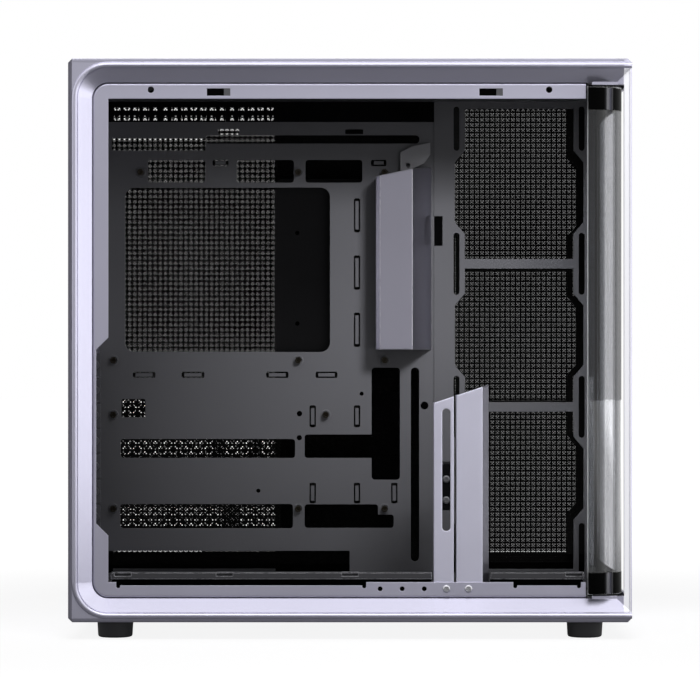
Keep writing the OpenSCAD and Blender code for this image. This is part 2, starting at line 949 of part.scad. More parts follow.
module bottom_filter() {
    color("black")
        flat_filter(floor_z - steel_t - filter_t, floor_z - steel_t - filter_t);
}

// Places on the tray, from the board's datum
function bx(x) = board_x + (x < keep_x ? x : keep_x + (x - keep_x) * scale_x);
function bz(z) = board_z + (z < keep_z ? z : keep_z + (z - keep_z) * scale_z);

module at_board(x, z) {
    translate([bx(x), bz(z)])
        children();
}

module cable_cut(x0, x1, z0, z1, r = cable_r) {
    rounded(bx(x0), bx(x1), bz(z0), bz(z1), min(r, (bz(z1) - bz(z0)) / 2.2));
}

module tray_cuts() {
    cable_cut(cpu_x, cpu_x + cpu_w, cpu_z, cpu_z + cpu_h, cpu_r);
    cable_cut(28.7, 77, 273.4, 292.5);
    cable_cut(103.2, 151.2, 273.4, 292.5);
    cable_cut(160.9, 208.7, 273.4, 292.5);
    cable_cut(216.4, 240.2, 24.1, 118.2, 3);
    cable_cut(160.2, 222, 42.4, 62.1);
    cable_cut(5.8, 152.2, 42.4, 58.3);
    cable_cut(5.5, 150.4, -16.6, 3.8);
    rounded(bx(160.2), board_x + board_cols[2] - 5.53, bz(-16.3), bz(3.5), cable_r);
    cable_cut(215, 235, -16.3, -5.1);
    cable_cut(6.4, 26.7, 76.4, 91.9, 1.5);
    for (h = [[155.9, 79.6, 2.3], [208.1, 96.3, 1.7], [121.4, 14.9, 1.8], [155.8, 59.4, 2.2]])
        at_board(h[0], h[1])
            circle(h[2]);
}

module motherboard_tray() {
    z0 = z_low + tray_low;
    z1 = z_top - tray_high;
    x1 = bracket_x0 + 8;
    color("dimgray") {
        wall_y(tray_y, steel_t)
            difference() {
                union() {
                    span(back_x, x1, z0, z1);
                    span(board_x + 198, x1, floor_z, z0 + 1);
                }
                tray_cuts();
                slot_along(bx(76.7), bx(256.6), bz(309.7), bz(313.2) - bz(306.2));
                span(bx(-1.7), bx(77), bz(300.2), bz(310.9));
                span(bx(87.6), bx(105.2), bz(313.8), bz(318.4));
                span(bx(194.3), bx(209.3), bz(314.2), bz(318.2));
                slot_up(bx(252.8), floor_z + 16, bz(118.3), 7);
                translate([bx(260.8), bz(86.4)])
                    circle(3.3);
                for (t = ties)
                    tie_slot(t);
            }
        for (t = ties)
            tie_bridge(t);
        // Pressed ring round each board hole
        for (h = holes)
            boss(board_x + h[0], board_z + h[1]);
    }
}

// The ring that is pressed up round a standoff
module boss(x, z) {
    translate([x, tray_y, z])
        rotate([90, 0, 0])
            difference() {
                cylinder(h = 0.8, r = standoff_r + 1.3);
                translate([0, 0, -1])
                    cylinder(h = 3, r = standoff_r);
            }
}

module tie_slot(t) {
    translate([bx(t[0]), bz(t[1])])
        square(t[3] == 1 ? [tie_w, t[2]] : [t[2], tie_w], center = true);
}

// A narrow bridge raised over its slot, with slanted ends
module tie_bridge(t) {
    l = t[2] / 2 + 0.4;
    bar = tie_w - 2;
    profile = [
        [-l, 0], [-l + 1.2, 0], [-l + 2.8, tie_h - steel_t], [l - 2.8, tie_h - steel_t],
        [l - 1.2, 0], [l, 0], [l, steel_t], [l - 2.2, tie_h], [-l + 2.2, tie_h], [-l, steel_t]
    ];
    translate([bx(t[0]), tray_y + steel_t, bz(t[1])])
        rotate([90, t[3] * 90, 0])
            rotate([90, 0, 0])
                translate([0, 0, -bar / 2])
                    linear_extrude(bar)
                        polygon(profile);
}

module standoffs() {
    color("goldenrod")
        for (h = holes)
            translate([board_x + h[0], tray_y, board_z + h[1]])
                rotate([90, 0, 0])
                    difference() {
                        cylinder(h = standoff_h, r = standoff_r - 0.1, $fn = 6);
                        translate([0, 0, 1])
                            cylinder(h = standoff_h, r = thread_r);
                    }
}

// One fan opening, with its sides drawn in beside the fixing slots
module fan_opening(z, low = 0, high = 0, inset = 0) {
    a = fan_wide - inset;
    b = fan_narrow - inset;
    h = fan_half - inset;
    translate([fan_x, z])
        polygon([
            [-b, -h - low], [b, -h - low], [b, -35], [a, -25], [a, 25], [b, 35],
            [b, h + high], [-b, h + high], [-b, 35], [-a, 25], [-a, -25], [-b, -35]
        ]);
}

module fan_openings(inset = 0) {
    fan_opening(fan_rows[0], 20, 0, inset);
    fan_opening(fan_rows[1], 0, 0, inset);
    fan_opening(fan_rows[2], 0, 14, inset);
}

module fan_bracket() {
    color("dimgray")
        wall_y(tray_y - steel_t, steel_t)
            difference() {
                span(bracket_x0, bracket_x1, floor_z, roof_z);
                fan_openings();
                for (s = [-1, 1]) {
                    slot_up(fan_x + s * fan_screw / 2, fan_rows[0] + 34, fan_rows[1] - 34,
                        fan_slot_w);
                    slot_up(fan_x + s * fan_screw / 2, fan_rows[1] + 34, fan_rows[2] - 34,
                        fan_slot_w);
                    slot_up(fan_x + s * fan_screw / 2, fan_rows[2] + 34.8, roof_z - 4,
                        fan_slot_w);
                    slot_up(fan_x + s * fan_screw / 2, floor_z + 6, fan_rows[0] - 37.4,
                        fan_slot_w);
                }
                translate([bracket_x0 - 1, fan_rows[1] + 75])
                    square([8.1, 25]);
            }
}

// Moulded frame with the fans' openings and a mesh at its back, on the far side panel
module side_filter() {
    y0 = panel_y - side_filter_d;
    color("black") {
        wall_y(y0, side_filter_d)
            difference() {
                rounded(bracket_x0 + 4, bracket_x1 - 2, z_low + vent_margin + 12,
                    filter_z1, 4);
                fan_openings();
                fan_opening(fan_rows[2], 0, filter_z1 - 4 - fan_rows[2] - fan_half);
                for (s = [-1, 1], k = [0, 1])
                    slot_up(fan_x + s * fan_screw / 2, fan_rows[k] + 34,
                        fan_rows[k + 1] - 34, fan_slot_w);
            }
        wall_y(panel_y - mesh_t, mesh_t)
            span(bracket_x0 + 6, bracket_x1 - 4, z_low + vent_margin + 14, filter_z1 - 2);
    }
}

// Inverted angle with notches that stands on the floor inside the opening
module bottom_rail() {
    y0 = y_near + skirt_d + 0.5;
    x0 = x_back + ring_w + steel_t + 13;
    x1 = flange_x - 1;
    z = floor_z + 18.4;
    color("dimgray")
        difference() {
            union() {
                translate([x0, y0, z - steel_t])
                    cube([x1 - x0, 14, steel_t]);
                translate([x0, y0, z - 5])
                    cube([x1 - x0, steel_t, 5]);
                translate([x0, y0 + 14 - steel_t, floor_z])
                    cube([x1 - x0, steel_t, z - floor_z]);
            }
            for (x = [-178.5, -98.5, 0, 176])
                translate([x - 6.5, y0 - 1, z - 2.6])
                    cube([13, 9, 4]);
            // Room for the foot of the card holder
            translate([holder_x - 1.5, y0 - 1, open_z0 - 9])
                cube([plate_x1 + flank_w - holder_x + 3, holder_y + holder_d - y0 + 1.6, 30]);
        }
}

// Plan of the cable cover, drawn in by an inset
module cover_plan(inset) {
    x0 = bx(cover_x) + inset;
    x1 = bx(cover_x + cover_chamfer);
    x2 = bx(cover_x + cover_chamfer + cover_face);
    x3 = bx(cover_x + cover_chamfer + cover_face + cover_flank) - inset * 1.1;
    y0 = tray_y - cover_up + inset;
    polygon([
        [x0, tray_y], [x0, y0 + cover_chamfer], [x1 + inset * 0.4, y0],
        [x2 - inset * 0.7, y0], [x3, tray_y]
    ]);
}

module cable_cover() {
    x0 = bx(cover_x) - 1;
    x1 = bx(cover_x + cover_chamfer + cover_face + cover_flank) + 1;
    z0 = board_z + cover_low;
    z1 = z0 + cover_tall;
    color("slategray")
        difference() {
            wall_z(z0, cover_tall + cover_rise + 2)
                difference() {
                    cover_plan(0);
                    translate([0, eps])
                        cover_plan(cover_sheet);
                }
            wall_y(tray_y - cover_up - 1, cover_up + 2)
                polygon([
                    [x0, z1], [x1, z1 + cover_rise], [x1, z1 + 60], [x0, z1 + 60]
                ]);
        }
}

// Dark hooked plate above the cable cover
module cover_bracket() {
    x0 = bx(cover_x + 20.6);
    x1 = bx(cover_x + 30.6);
    x2 = bx(cover_x + 40.6);
    x3 = bx(cover_x + 45.6);
    top = cover_low + cover_tall;
    z0 = bz(top - 26);
    color("dimgray") {
        wall_y(tray_y - 8, cover_sheet)
            difference() {
                polygon([
                    [x0, z0], [x0, bz(top + 22)], [x1, bz(top + 27)], [x3, bz(top + 30)],
                    [x3, bz(top + 20)], [x2, bz(top + 13)], [x1, bz(top + 8)], [x1, z0]
                ]);
                translate([bx(cover_x + 27.1), bz(top + 11)])
                    circle(1.8);
            }
        translate([x0, tray_y - 8, z0])
            cube([cover_sheet, 8, bz(top + 22) - z0]);
    }
}

// Front view of the holder from x0 to x1, under its slanted top edge
module holder_face(x0, x1) {
    slope = holder_rise / (plate_x1 - holder_x);
    polygon([
        [x0, open_z0 - 8.5], [x1, open_z0 - 8.5],
        [x1, open_z0 + rail_h + slope * (x1 - holder_x)],
        [x0, open_z0 + rail_h + slope * (x0 - holder_x)]
    ]);
}

module holder_rail() {
    slot_x = arm_x;
    color("thistle") {
        wall_y(holder_y, holder_t)
            difference() {
                holder_face(holder_x, rail_x1);
                slot_up(slot_x, open_z0 + arm_slot_low, open_z0 + arm_slot_low + arm_slot_h,
                    arm_slot_w);
                translate([foot_screw_x(0), open_z0 - 5.2])
                    circle(foot_hole_r);
            }
        wall_y(holder_y, holder_d)
            holder_face(holder_x, holder_x + holder_t);
    }
}

module holder_plate() {
    color("thistle")
        difference() {
            union() {
                wall_y(holder_y, holder_t)
                    holder_face(plate_x0, plate_x1);
                wall_y(holder_y, holder_d)
                    holder_face(plate_x0, plate_x0 + holder_t);
                // Slanted flank at the front side
                intersection() {
                    wall_z(open_z0 - 8.5, rail_h + holder_rise + 20)
                        polygon([
                            [plate_x1 - eps, holder_y],
                            [plate_x1 + flank_w, holder_y + flank_w * 1.6],
                            [plate_x1 + flank_w, holder_y + holder_d],
                            [plate_x1 + flank_w - holder_t, holder_y + holder_d],
                            [plate_x1 + flank_w - holder_t, holder_y + flank_w * 1.6 + 0.5],
                            [plate_x1 - eps, holder_y + holder_t]
                        ]);
                    wall_y(holder_y - 1, holder_d + 2)
                        holder_face(plate_x1 - 1, plate_x1 + flank_w + 1);
                }
            }
            wall_y(holder_y - 1, 4)
                translate([foot_screw_x(1), open_z0 - 5.2])
                    circle(foot_hole_r);
        }
}

// A round-headed cross-recess screw with its head towards -Y
module pan_screw(p, head_r, shank_r, length) {
    translate(p)
        rotate([90, 0, 0])
            difference() {
                union() {
                    cylinder(h = 1.2, r = head_r);
                    translate([0, 0, 1.2])
                        cylinder(h = 0.7, r1 = head_r, r2 = head_r - 0.9);
                    translate([0, 0, -length])
                        cylinder(h = length + eps, r = shank_r);
                }
                for (a = [45, 135])
                    rotate([0, 0, a])
                        translate([-head_r * 0.55, -0.35, 0.9])
                            cube([head_r * 1.1, 0.7, 2]);
            }
}

module holder_screws() {
    color("silver")
        for (i = [0, 1])
            pan_screw([foot_screw_x(i), flange_y, open_z0 - 5.2], 3, foot_hole_r - 0.15,
                steel_t + holder_t + 2);
}

// Arm: a plate that slides behind the rail and a shelf that reaches into the case
module support_arm() {
    y0 = holder_y + holder_t + arm_gap;
    x0 = holder_x + holder_t + 0.8;
    x1 = rail_x1 - 0.4;
    color("black") {
        wall_y(y0, holder_t)
            difference() {
                span(x0, x1, arm_z - 8, arm_z + arm_pitch + 12);
                for (z = [arm_z, arm_z + arm_pitch])
                    translate([arm_x, z])
                        circle(1.6);
            }
        translate([x0, y0, arm_z + arm_pitch + 12 - holder_t])
            cube([x1 - x0, arm_reach, holder_t]);
        wall_x(x1 - holder_t, holder_t)
            polygon([
                [y0, arm_z - 8], [y0, arm_z + arm_pitch + 12],
                [y0 + arm_reach, arm_z + arm_pitch + 12],
                [y0 + arm_reach, arm_z + arm_pitch + 7]
            ]);
    }
}

module arm_screws() {
    color("dimgray")
        for (z = [arm_z, arm_z + arm_pitch])
            pan_screw([arm_x, holder_y + holder_t + arm_gap, z], arm_head_r, 1.45,
                holder_t + 1.5);
}

module slot_covers() {
    color("dimgray")
        for (i = [0 : slot_n - 1])
            translate([0, 0, slot_z0 + (i + 0.5) * slot_pitch]) {
                // Strip behind the opening and its ear folded to the back
                difference() {
                    translate([back_x, slot_y0, -slot_w / 2])
                        cube([0.9, slot_len, slot_w]);
                    for (k = [0 : 5])
                        translate([back_x - 1, slot_y0 + 24 + k * 12, -slot_w / 2 + 5])
                            cube([3, 8, slot_w - 10]);
                }
                translate([back_x, slot_y0, -slot_w / 2])
                    cube([10, 0.9, slot_w]);
            }
}

module slot_screws() {
    color("silver")
        for (i = [0 : slot_n - 1])
            translate([back_x + 5.6, slot_y0, slot_z0 + (i + 0.5) * slot_pitch])
                rotate([90, 0, 0])
                    difference() {
                        cylinder(h = 3.4, r = knob_r - 0.6, $fn = 24);
                        for (a = [0, 90])
                            rotate([0, 0, a])
                                translate([-2, -0.5, 2.4])
                                    cube([4, 1, 2]);
                    }
}

module drive_bracket() {
    x0 = board_x + drive_x;
    z0 = board_z + cpu_z - 6;
    y0 = tray_y + steel_t + drive_off;
    color("dimgray") {
        wall_y(y0, steel_t)
            difference() {
                rounded(x0, x0 + drive_w, z0, z0 + drive_h, 6);
                for (x = [x0 + 19, x0 + 19 + 69.85], z = [z0 + 30, z0 + 30 + 76.6])
                    translate([x, z])
                        circle(1.8);
            }
        // Two folded feet on the tray
        for (z = [z0 + 12, z0 + drive_h - 24])
            translate([x0 + 80, tray_y + steel_t, z]) {
                cube([steel_t, drive_off, 12]);
            }
    }
}

// Two angles on the floor that carry the power supply
module psu_rails() {
    color("dimgray")
        for (y = [psu_y0 + 4, psu_y0 + psu_w - 18])
            translate([back_x + 6, y, floor_z]) {
                cube([140, 14, steel_t]);
                cube([140, steel_t, psu_z0 - floor_z]);
            }
}

module foot(x, y) {
    color("black")
        translate([x, y, 0])
            rotate_extrude()
                polygon([
                    [0, foot_h], [0, 3], [5, 3], [6, 0], [foot_r - 2.4, 0],
                    [foot_r - 1.2, 0.5], [foot_r - 0.7, 1.6], [foot_r, foot_h]
                ]);
}

module foot_back_left() {
    foot(x_back + foot_in, y_near + foot_side);
}

module foot_back_right() {
    foot(x_back + foot_in, y_far - foot_side);
}

module foot_front_left() {
    foot(x_front - foot_in, y_near + foot_side);
}

module foot_front_right() {
    foot(x_front - foot_in, y_far - foot_side);
}

side_frame();
top_cover();
bottom_cover();
rear_panel();
right_panel();
panel_screws();
front_glass();
glass_top_strip();
glass_bottom_strip();
front_column();
chassis_top();
chassis_bottom();
opening_flange();
catch_clips();
motherboard_tray();
standoffs();
fan_bracket();
side_filter();
bottom_rail();
top_filter();
bottom_filter();
cable_cover();
cover_bracket();
holder_rail();
holder_plate();
holder_screws();
support_arm();
arm_screws();
slot_covers();
slot_screws();
drive_bracket();
psu_rails();
io_board();
port_sockets();
power_button();
foot_back_left();
foot_back_right();
foot_front_left();
foot_front_right();
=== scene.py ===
import json
import math

import bpy
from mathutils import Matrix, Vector
import numpy as np


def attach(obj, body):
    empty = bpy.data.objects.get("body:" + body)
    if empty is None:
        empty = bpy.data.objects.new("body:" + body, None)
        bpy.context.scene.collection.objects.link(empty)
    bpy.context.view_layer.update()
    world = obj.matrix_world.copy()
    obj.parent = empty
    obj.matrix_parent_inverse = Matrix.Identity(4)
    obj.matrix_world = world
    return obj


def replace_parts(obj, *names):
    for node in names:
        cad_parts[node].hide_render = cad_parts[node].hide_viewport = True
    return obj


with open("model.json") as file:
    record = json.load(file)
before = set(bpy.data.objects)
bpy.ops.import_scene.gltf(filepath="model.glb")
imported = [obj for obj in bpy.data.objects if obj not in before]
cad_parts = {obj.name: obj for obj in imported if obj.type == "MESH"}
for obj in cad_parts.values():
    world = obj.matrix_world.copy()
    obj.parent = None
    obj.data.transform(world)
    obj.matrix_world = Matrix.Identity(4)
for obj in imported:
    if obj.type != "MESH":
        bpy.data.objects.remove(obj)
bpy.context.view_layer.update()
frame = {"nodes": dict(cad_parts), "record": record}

# Looks of a two-chamber computer case. Metres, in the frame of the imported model: +Z up, the open
# side faces -Y, the glass front faces +X, the floor is Z = 0.

scene = bpy.context.scene
nodes = frame["nodes"]
MM = 0.001

# Sizes repeated from the part's source, in millimetres
BACK, FRONT = -220.0, 220.0
FAR = 142.5
LOW, TOP = 14.0, 454.0
CORNER_CUT = 3.2
STEEL = 1.2
# Depth of the far panel's folded rim, and the inner faces of the far panel and the back panel
PANEL_RIM = 10.0
PANEL_Y = FAR - STEEL
BACK_X = -210.2
# The slim bar in front of the pane: a little over its width, and the Y part of the normal of its
# slanted face, give or take
BAR_WIDE = 6.0
BAR_SLOPE, BAR_SLACK = -0.73, 0.05
# How far in from the body's edge the strips beside the lip are taken to reach
STRIP = 3.0
# The bent pane: centre of its corner in plan, outer radius, and where the ink on its short
# return starts, just inside its ground edge
PANE_X, PANE_Y, PANE_R = 190.0, -112.5, 24.0
INK_START = 186.2


# Camera at the photograph's viewing angle: its place in metres, lens and sensor in millimetres

CAMERA_PLACE = (0.0, -2.6295, 0.2265)
LENS, SENSOR = 164.1, 36.0


def make_camera():
    """A level camera square-on to the open side."""
    data = bpy.data.cameras.new("camera")
    data.lens = LENS
    data.sensor_width = SENSOR
    data.clip_start = 0.1
    data.clip_end = 100.0
    camera = bpy.data.objects.new("camera", data)
    camera.location = CAMERA_PLACE
    camera.rotation_euler = (math.pi / 2, 0.0, 0.0)
    scene.collection.objects.link(camera)
    scene.camera = camera


make_camera()
scene.view_settings.view_transform = "Standard"


# Node-tree helpers

class Tree:
    """Adds nodes to one node tree and joins them, with values or other nodes' sockets as inputs."""

    def __init__(self, tree):
        self.tree = tree

    def add(self, kind, out=0, ins=None, **props):
        node = self.tree.nodes.new(kind)
        for name, value in props.items():
            setattr(node, name, value)
        for key, value in (ins or {}).items():
            socket = node.inputs[key]
            if isinstance(value, bpy.types.NodeSocket):
                self.tree.links.new(value, socket)
            else:
                socket.default_value = value
        return node if out is None else node.outputs[out]

    def math(self, op, a, b=0.0, c=0.0):
        """One operation on up to three values."""
        return self.add("ShaderNodeMath", 0, {0: a, 1: b, 2: c}, operation=op)

    def times(self, *values):
        """The product of several values."""
        product = values[0]
        for value in values[1:]:
            product = self.math("MULTIPLY", product, value)
        return product

    def mix(self, factor, a, b, blend="MIX"):
        """Colour a, going over into colour b as the factor rises."""
        return self.add("ShaderNodeMix", 2, {0: factor, 6: a, 7: b}, data_type="RGBA",
                        blend_type=blend)

    def ramp(self, value, low, high, to_low=0.0, to_high=1.0):
        """A value that goes from low to high, as one from to_low to to_high, held beyond both."""
        return self.add("ShaderNodeMapRange", 0,
                        {0: value, 1: low, 2: high, 3: to_low, 4: to_high})

    def noise(self, vector, scale, detail=2.0, roughness=0.5):
        return self.add("ShaderNodeTexNoise", 0, {"Vector": vector, "Scale": scale,
                                                  "Detail": detail, "Roughness": roughness})

    def place(self, axis=None):
        """Where on the piece the point lies, in metres: all of it, or one coordinate."""
        where = self.add("ShaderNodeTexCoord", "Object")
        return where if axis is None else self.add("ShaderNodeSeparateXYZ", axis, {0: where})

    def normal(self, axis=None):
        """The surface's own normal: all of it, or one of its parts."""
        face = self.add("ShaderNodeNewGeometry", "Normal")
        return face if axis is None else self.add("ShaderNodeSeparateXYZ", axis, {0: face})

    def group(self, tree, **values):
        """A shader node group with plain values for its inputs, named with _ for a space."""
        node = self.add("ShaderNodeGroup", None, node_tree=tree)
        for name, value in values.items():
            node.inputs[name.replace("_", " ")].default_value = value
        return node

    def link(self, socket, end):
        self.tree.links.new(socket, end)


def new_group(name, inputs, outputs):
    """An empty shader node group with named float or colour sockets."""
    group = bpy.data.node_groups.new(name, "ShaderNodeTree")
    for direction, sockets in (("INPUT", inputs), ("OUTPUT", outputs)):
        for label, kind, default in sockets:
            socket = group.interface.new_socket(label, in_out=direction,
                                                socket_type="NodeSocket" + kind)
            if default is not None:
                socket.default_value = default
    tree = Tree(group)
    return group, tree, tree.add("NodeGroupInput", None), tree.add("NodeGroupOutput", None)


def make_powder_coat():
    """Powder-coat grain: a fine orange-peel height, faint cloudy colour and roughness changes."""
    group, t, inp, out = new_group(
        "PowderCoat",
        [("Colour", "Color", (0.5, 0.5, 0.5, 1)), ("Grain Scale", "Float", 1800.0),
         ("Cloud", "Float", 0.06), ("Roughness", "Float", 0.4), ("Spread", "Float", 0.08)],
        [("Colour", "Color", None), ("Roughness", "Float", None), ("Height", "Float", None)])
    where = t.place()
    grain = t.noise(where, inp.outputs["Grain Scale"], 3.0, 0.6)
    cloud = t.noise(where, 14.0, 3.0, 0.55)
    fleck = t.noise(where, 5200.0, 0.0)
    shift = t.times(t.math("SUBTRACT", cloud, 0.5), inp.outputs["Cloud"])
    shift = t.math("ADD", shift, t.times(t.math("SUBTRACT", fleck, 0.5), 0.05))
    level = t.math("ADD", 1.0, shift)
    grey = t.add("ShaderNodeCombineColor", 0, {0: level, 1: level, 2: level})
    colour = t.mix(1.0, inp.outputs["Colour"], grey, "MULTIPLY")
    rough = t.math("MULTIPLY_ADD", t.math("SUBTRACT", cloud, 0.5), inp.outputs["Spread"],
                   inp.outputs["Roughness"])
    t.link(colour, out.inputs[0])
    t.link(rough, out.inputs[1])
    t.link(grain, out.inputs[2])
    return group


def off_face(t, radius):
    """How far a normal rounded over a radius stays along the face's own: 1 away from edges."""
    soft = t.add("ShaderNodeBevel", 0, {"Radius": radius}, samples=4)
    return t.add("ShaderNodeVectorMath", "Value", {0: soft, 1: t.normal()},
                 operation="DOT_PRODUCT")


def make_edge_wear():
    """Edge wear: where a normal rounded over a small radius leaves the face's own normal, broken
    up by noise, so that coats thin out along edges."""
    group, t, inp, out = new_group(
        "EdgeWear",
        [("Radius", "Float", 0.0008), ("Amount", "Float", 0.5)],
        [("Mask", "Float", None)])
    edge = t.ramp(off_face(t, inp.outputs["Radius"]), 0.995, 0.80)
    patchy = t.ramp(t.noise(t.place(), 160.0, 4.0, 0.7), 0.35, 0.65)
    t.link(t.times(edge, patchy, inp.outputs["Amount"]), out.inputs[0])
    return group


def make_woven_mesh():
    """Woven mesh in the plane of two coordinates A and B: wires run along both diagonals, and each
    is as wide as a share of the pitch. The height rises and falls as the wires cross."""
    group, t, inp, out = new_group(
        "WovenMesh",
        [("A", "Float", 0.0), ("B", "Float", 0.0), ("Pitch", "Float", 0.0015),
         ("Wire", "Float", 0.4)],
        [("Solid", "Float", None), ("Height", "Float", None)])
    a, b, pitch = inp.outputs["A"], inp.outputs["B"], inp.outputs["Pitch"]
    half = t.times(inp.outputs["Wire"], 0.5)
    masks, waves = [], []
    for op in ("ADD", "SUBTRACT"):
        along = t.math("DIVIDE", t.math(op, a, b), pitch)
        away = t.math("ABSOLUTE", t.math("SUBTRACT", t.math("FRACT", along), 0.5))
        masks.append(t.math("LESS_THAN", away, half))
        waves.append(t.math("COSINE", t.times(along, math.pi)))
    t.link(t.math("MAXIMUM", *masks), out.inputs[0])
    t.link(t.times(*waves), out.inputs[1])
    return group


# Strips that look out of the open side, between the lip and the body's edge: the axis across the
# strip, the one along which the normal leans, where the strip starts and ends, and the lean there
CROWN_ROWS = [
    ("X", "X", FRONT - BAR_WIDE, FRONT, 0.16, 0.55),
    ("X", "Z", BACK + STRIP, BACK, -0.5, -1.0),
    ("Z", "Z", TOP - STRIP, TOP, -0.08, 0.05),
    ("Z", "Z", LOW + STRIP, LOW, -0.36, -1.0),
]
# How far the slim bar's normal leans to the front, and up as a share of that
BAR_TURN, BAR_RISE = 0.36, 0.45


def make_crown():
    """A profile crowned towards the case's outside. On each strip of CROWN_ROWS the normal leans
    the more the nearer it is to the body's edge, and on the slim bar it leans by one plain
    amount."""
    group, t, inp, out = new_group("CrownedEdge", [("Normal", "Vector", None)],
                                   [("Normal", "Vector", None)])
    place = t.add("ShaderNodeSeparateXYZ", None, {0: t.place()})
    face = t.normal("Y")
    front = t.ramp(face, -0.93, -0.97)
    bar = t.times(t.math("COMPARE", face, BAR_SLOPE, BAR_SLACK), BAR_TURN, t.math(
        "GREATER_THAN", place.outputs["X"], (FRONT - BAR_WIDE) * MM))
    lean = {"X": bar, "Z": t.times(bar, BAR_RISE)}
    for across, along, start, end, least, most in CROWN_ROWS:
        value = place.outputs[across]
        within = t.times(front, t.math("GREATER_THAN" if end > start else "LESS_THAN", value,
                                       start * MM))
        lean[along] = t.math("MULTIPLY_ADD", within,
                             t.ramp(value, start * MM, end * MM, least, most), lean[along])
    total = t.add("ShaderNodeCombineXYZ", 0, {0: lean["X"], 2: lean["Z"]})
    total = t.add("ShaderNodeVectorMath", 0, {0: inp.outputs["Normal"], 1: total}, operation="ADD")
    t.link(t.add("ShaderNodeVectorMath", 0, {0: total}, operation="NORMALIZE"), out.inputs[0])
    return group


POWDER = make_powder_coat()
CROWN = make_crown()
WEAR = make_edge_wear()
WEAVE = make_woven_mesh()


# Materials

def new_material(name):
    material = bpy.data.materials.new(name)
    material.use_nodes = True
    material.node_tree.nodes.clear()
    t = Tree(material.node_tree)
    out = t.add("ShaderNodeOutputMaterial", None)
    return material, t, out


def rounded_bump(t, height, strength, distance, radius=None):
    """Bump on the face's own normal, or on one rounded over a radius along its edges."""
    ins = {"Strength": strength, "Distance": distance, "Height": height}
    if radius:
        ins["Normal"] = t.add("ShaderNodeBevel", 0, {"Radius": radius}, samples=4)
    return t.add("ShaderNodeBump", 0, ins)


def edge_wear_and_highlight(t, colour, worn, radius, wear):
    """A colour that gives way to another along edges: a worn one, and on the cable cover and the
    bottom rail a painted highlight.
    """
    mask = t.group(WEAR, Radius=radius, Amount=wear)
    return t.mix(mask.outputs["Mask"], colour, (*worn, 1))


def paint(name, colour, roughness, metallic, bump, grain, worn, wear, cloud=0.06, radius=0.0005,
          inner=None, gloss=0.5, crown=False, black=None, side=None):
    """Painted sheet: powder-coat grain, and a coat worn thin along the edges; on the cable cover
    and the bottom rail that edge colour is a painted highlight. inner is (axis, colour): every face
    that doesn't look along that axis has that colour, as on a panel whose inside is black. side is
    (mask, colour, metallic) for some of its faces, used for a painted highlight on the frame's slim
    bar and painted shade on the holder's flanks. black gives a mask of what is black and without
    gloss, on some pieces painted shade."""
    material, t, out = new_material(name)
    coat = t.group(POWDER, Colour=(*colour, 1), Grain_Scale=grain, Cloud=cloud,
                   Roughness=roughness)
    base = edge_wear_and_highlight(t, coat.outputs["Colour"], worn, 0.0009, wear)
    if inner:
        within = t.math("LESS_THAN", t.normal(inner[0]), 0.5)
        base = t.mix(within, base, (*inner[1], 1))
    sheen = metallic
    if side:
        mask, side_colour, side_metallic = side
        base = t.mix(mask(t), base, (*side_colour, 1))
        sheen = t.ramp(mask(t), 0.0, 1.0, metallic, side_metallic)
    if black:
        shade = black(t)
        base = t.mix(shade, base, (0.001, 0.001, 0.001, 1))
        sheen = t.ramp(shade, 0.0, 1.0, metallic, 0.0)
        gloss = t.ramp(shade, 0.0, 1.0, gloss, 0.02)
    normal = rounded_bump(t, coat.outputs["Height"], bump, 0.00005, radius)
    if crown:
        normal = t.add("ShaderNodeGroup", 0, {"Normal": normal}, node_tree=CROWN)
    shader = t.add("ShaderNodeBsdfPrincipled", 0, {
        "Base Color": base, "Roughness": coat.outputs["Roughness"],
        "Metallic": sheen, "Specular IOR Level": gloss, "Normal": normal})
    t.link(shader, out.inputs[0])
    return material


# Masks of parts of a piece: each takes a tree and gives 1 on that part

# Just behind the near face of the tray's tie bridges
TIE_Y = 46.5


def tie_shade(t):
    """The slanted ends and the edges of the tray's tie bridges, told from the flat tray by
    their slope and by how far they stand out of it."""
    near = t.math("LESS_THAN", t.place("Y"), TIE_Y * MM)
    facing_y = t.math("ABSOLUTE", t.normal("Y"))
    slanted = t.times(t.math("LESS_THAN", facing_y, 0.96), t.math("GREATER_THAN", facing_y, 0.4))
    rim = t.times(t.math("LESS_THAN", off_face(t, 0.0009), 0.985), near)
    return t.math("MAXIMUM", slanted, rim)


def behind(axis, millimetres):
    """A mask of what lies further along an axis than a plane."""
    return lambda t: t.math("GREATER_THAN", t.place(axis), millimetres * MM)


def below(axis, millimetres):
    """A mask of what lies nearer along an axis than a plane."""
    return lambda t: t.math("LESS_THAN", t.place(axis), millimetres * MM)


def facing(axis, least):
    """A mask of the faces whose normal has more than least along an axis."""
    return lambda t: t.math("GREATER_THAN", t.normal(axis), least)


def panel_inside(t):
    """The far panel's inner face and whatever edge isn't on the case's outline, in black."""
    normal = t.normal("Y")
    wide = t.math("LESS_THAN", t.math("ABSOLUTE", t.place("X")), (FRONT - 1.0) * MM)
    tall = t.math("COMPARE", t.place("Z"), (LOW + TOP) / 2 * MM, ((TOP - LOW) / 2 - 1.0) * MM)
    within = t.times(wide, tall, t.math("LESS_THAN", normal, 0.5))
    return t.math("MAXIMUM", within, t.math("LESS_THAN", normal, -0.5))


def front_bar(t):
    """The slim slanted bar in front of the glass."""
    return t.times(facing("X", -0.9)(t), behind("X", FRONT - BAR_WIDE)(t),
                   t.math("COMPARE", t.normal("Y"), BAR_SLOPE, BAR_SLACK))


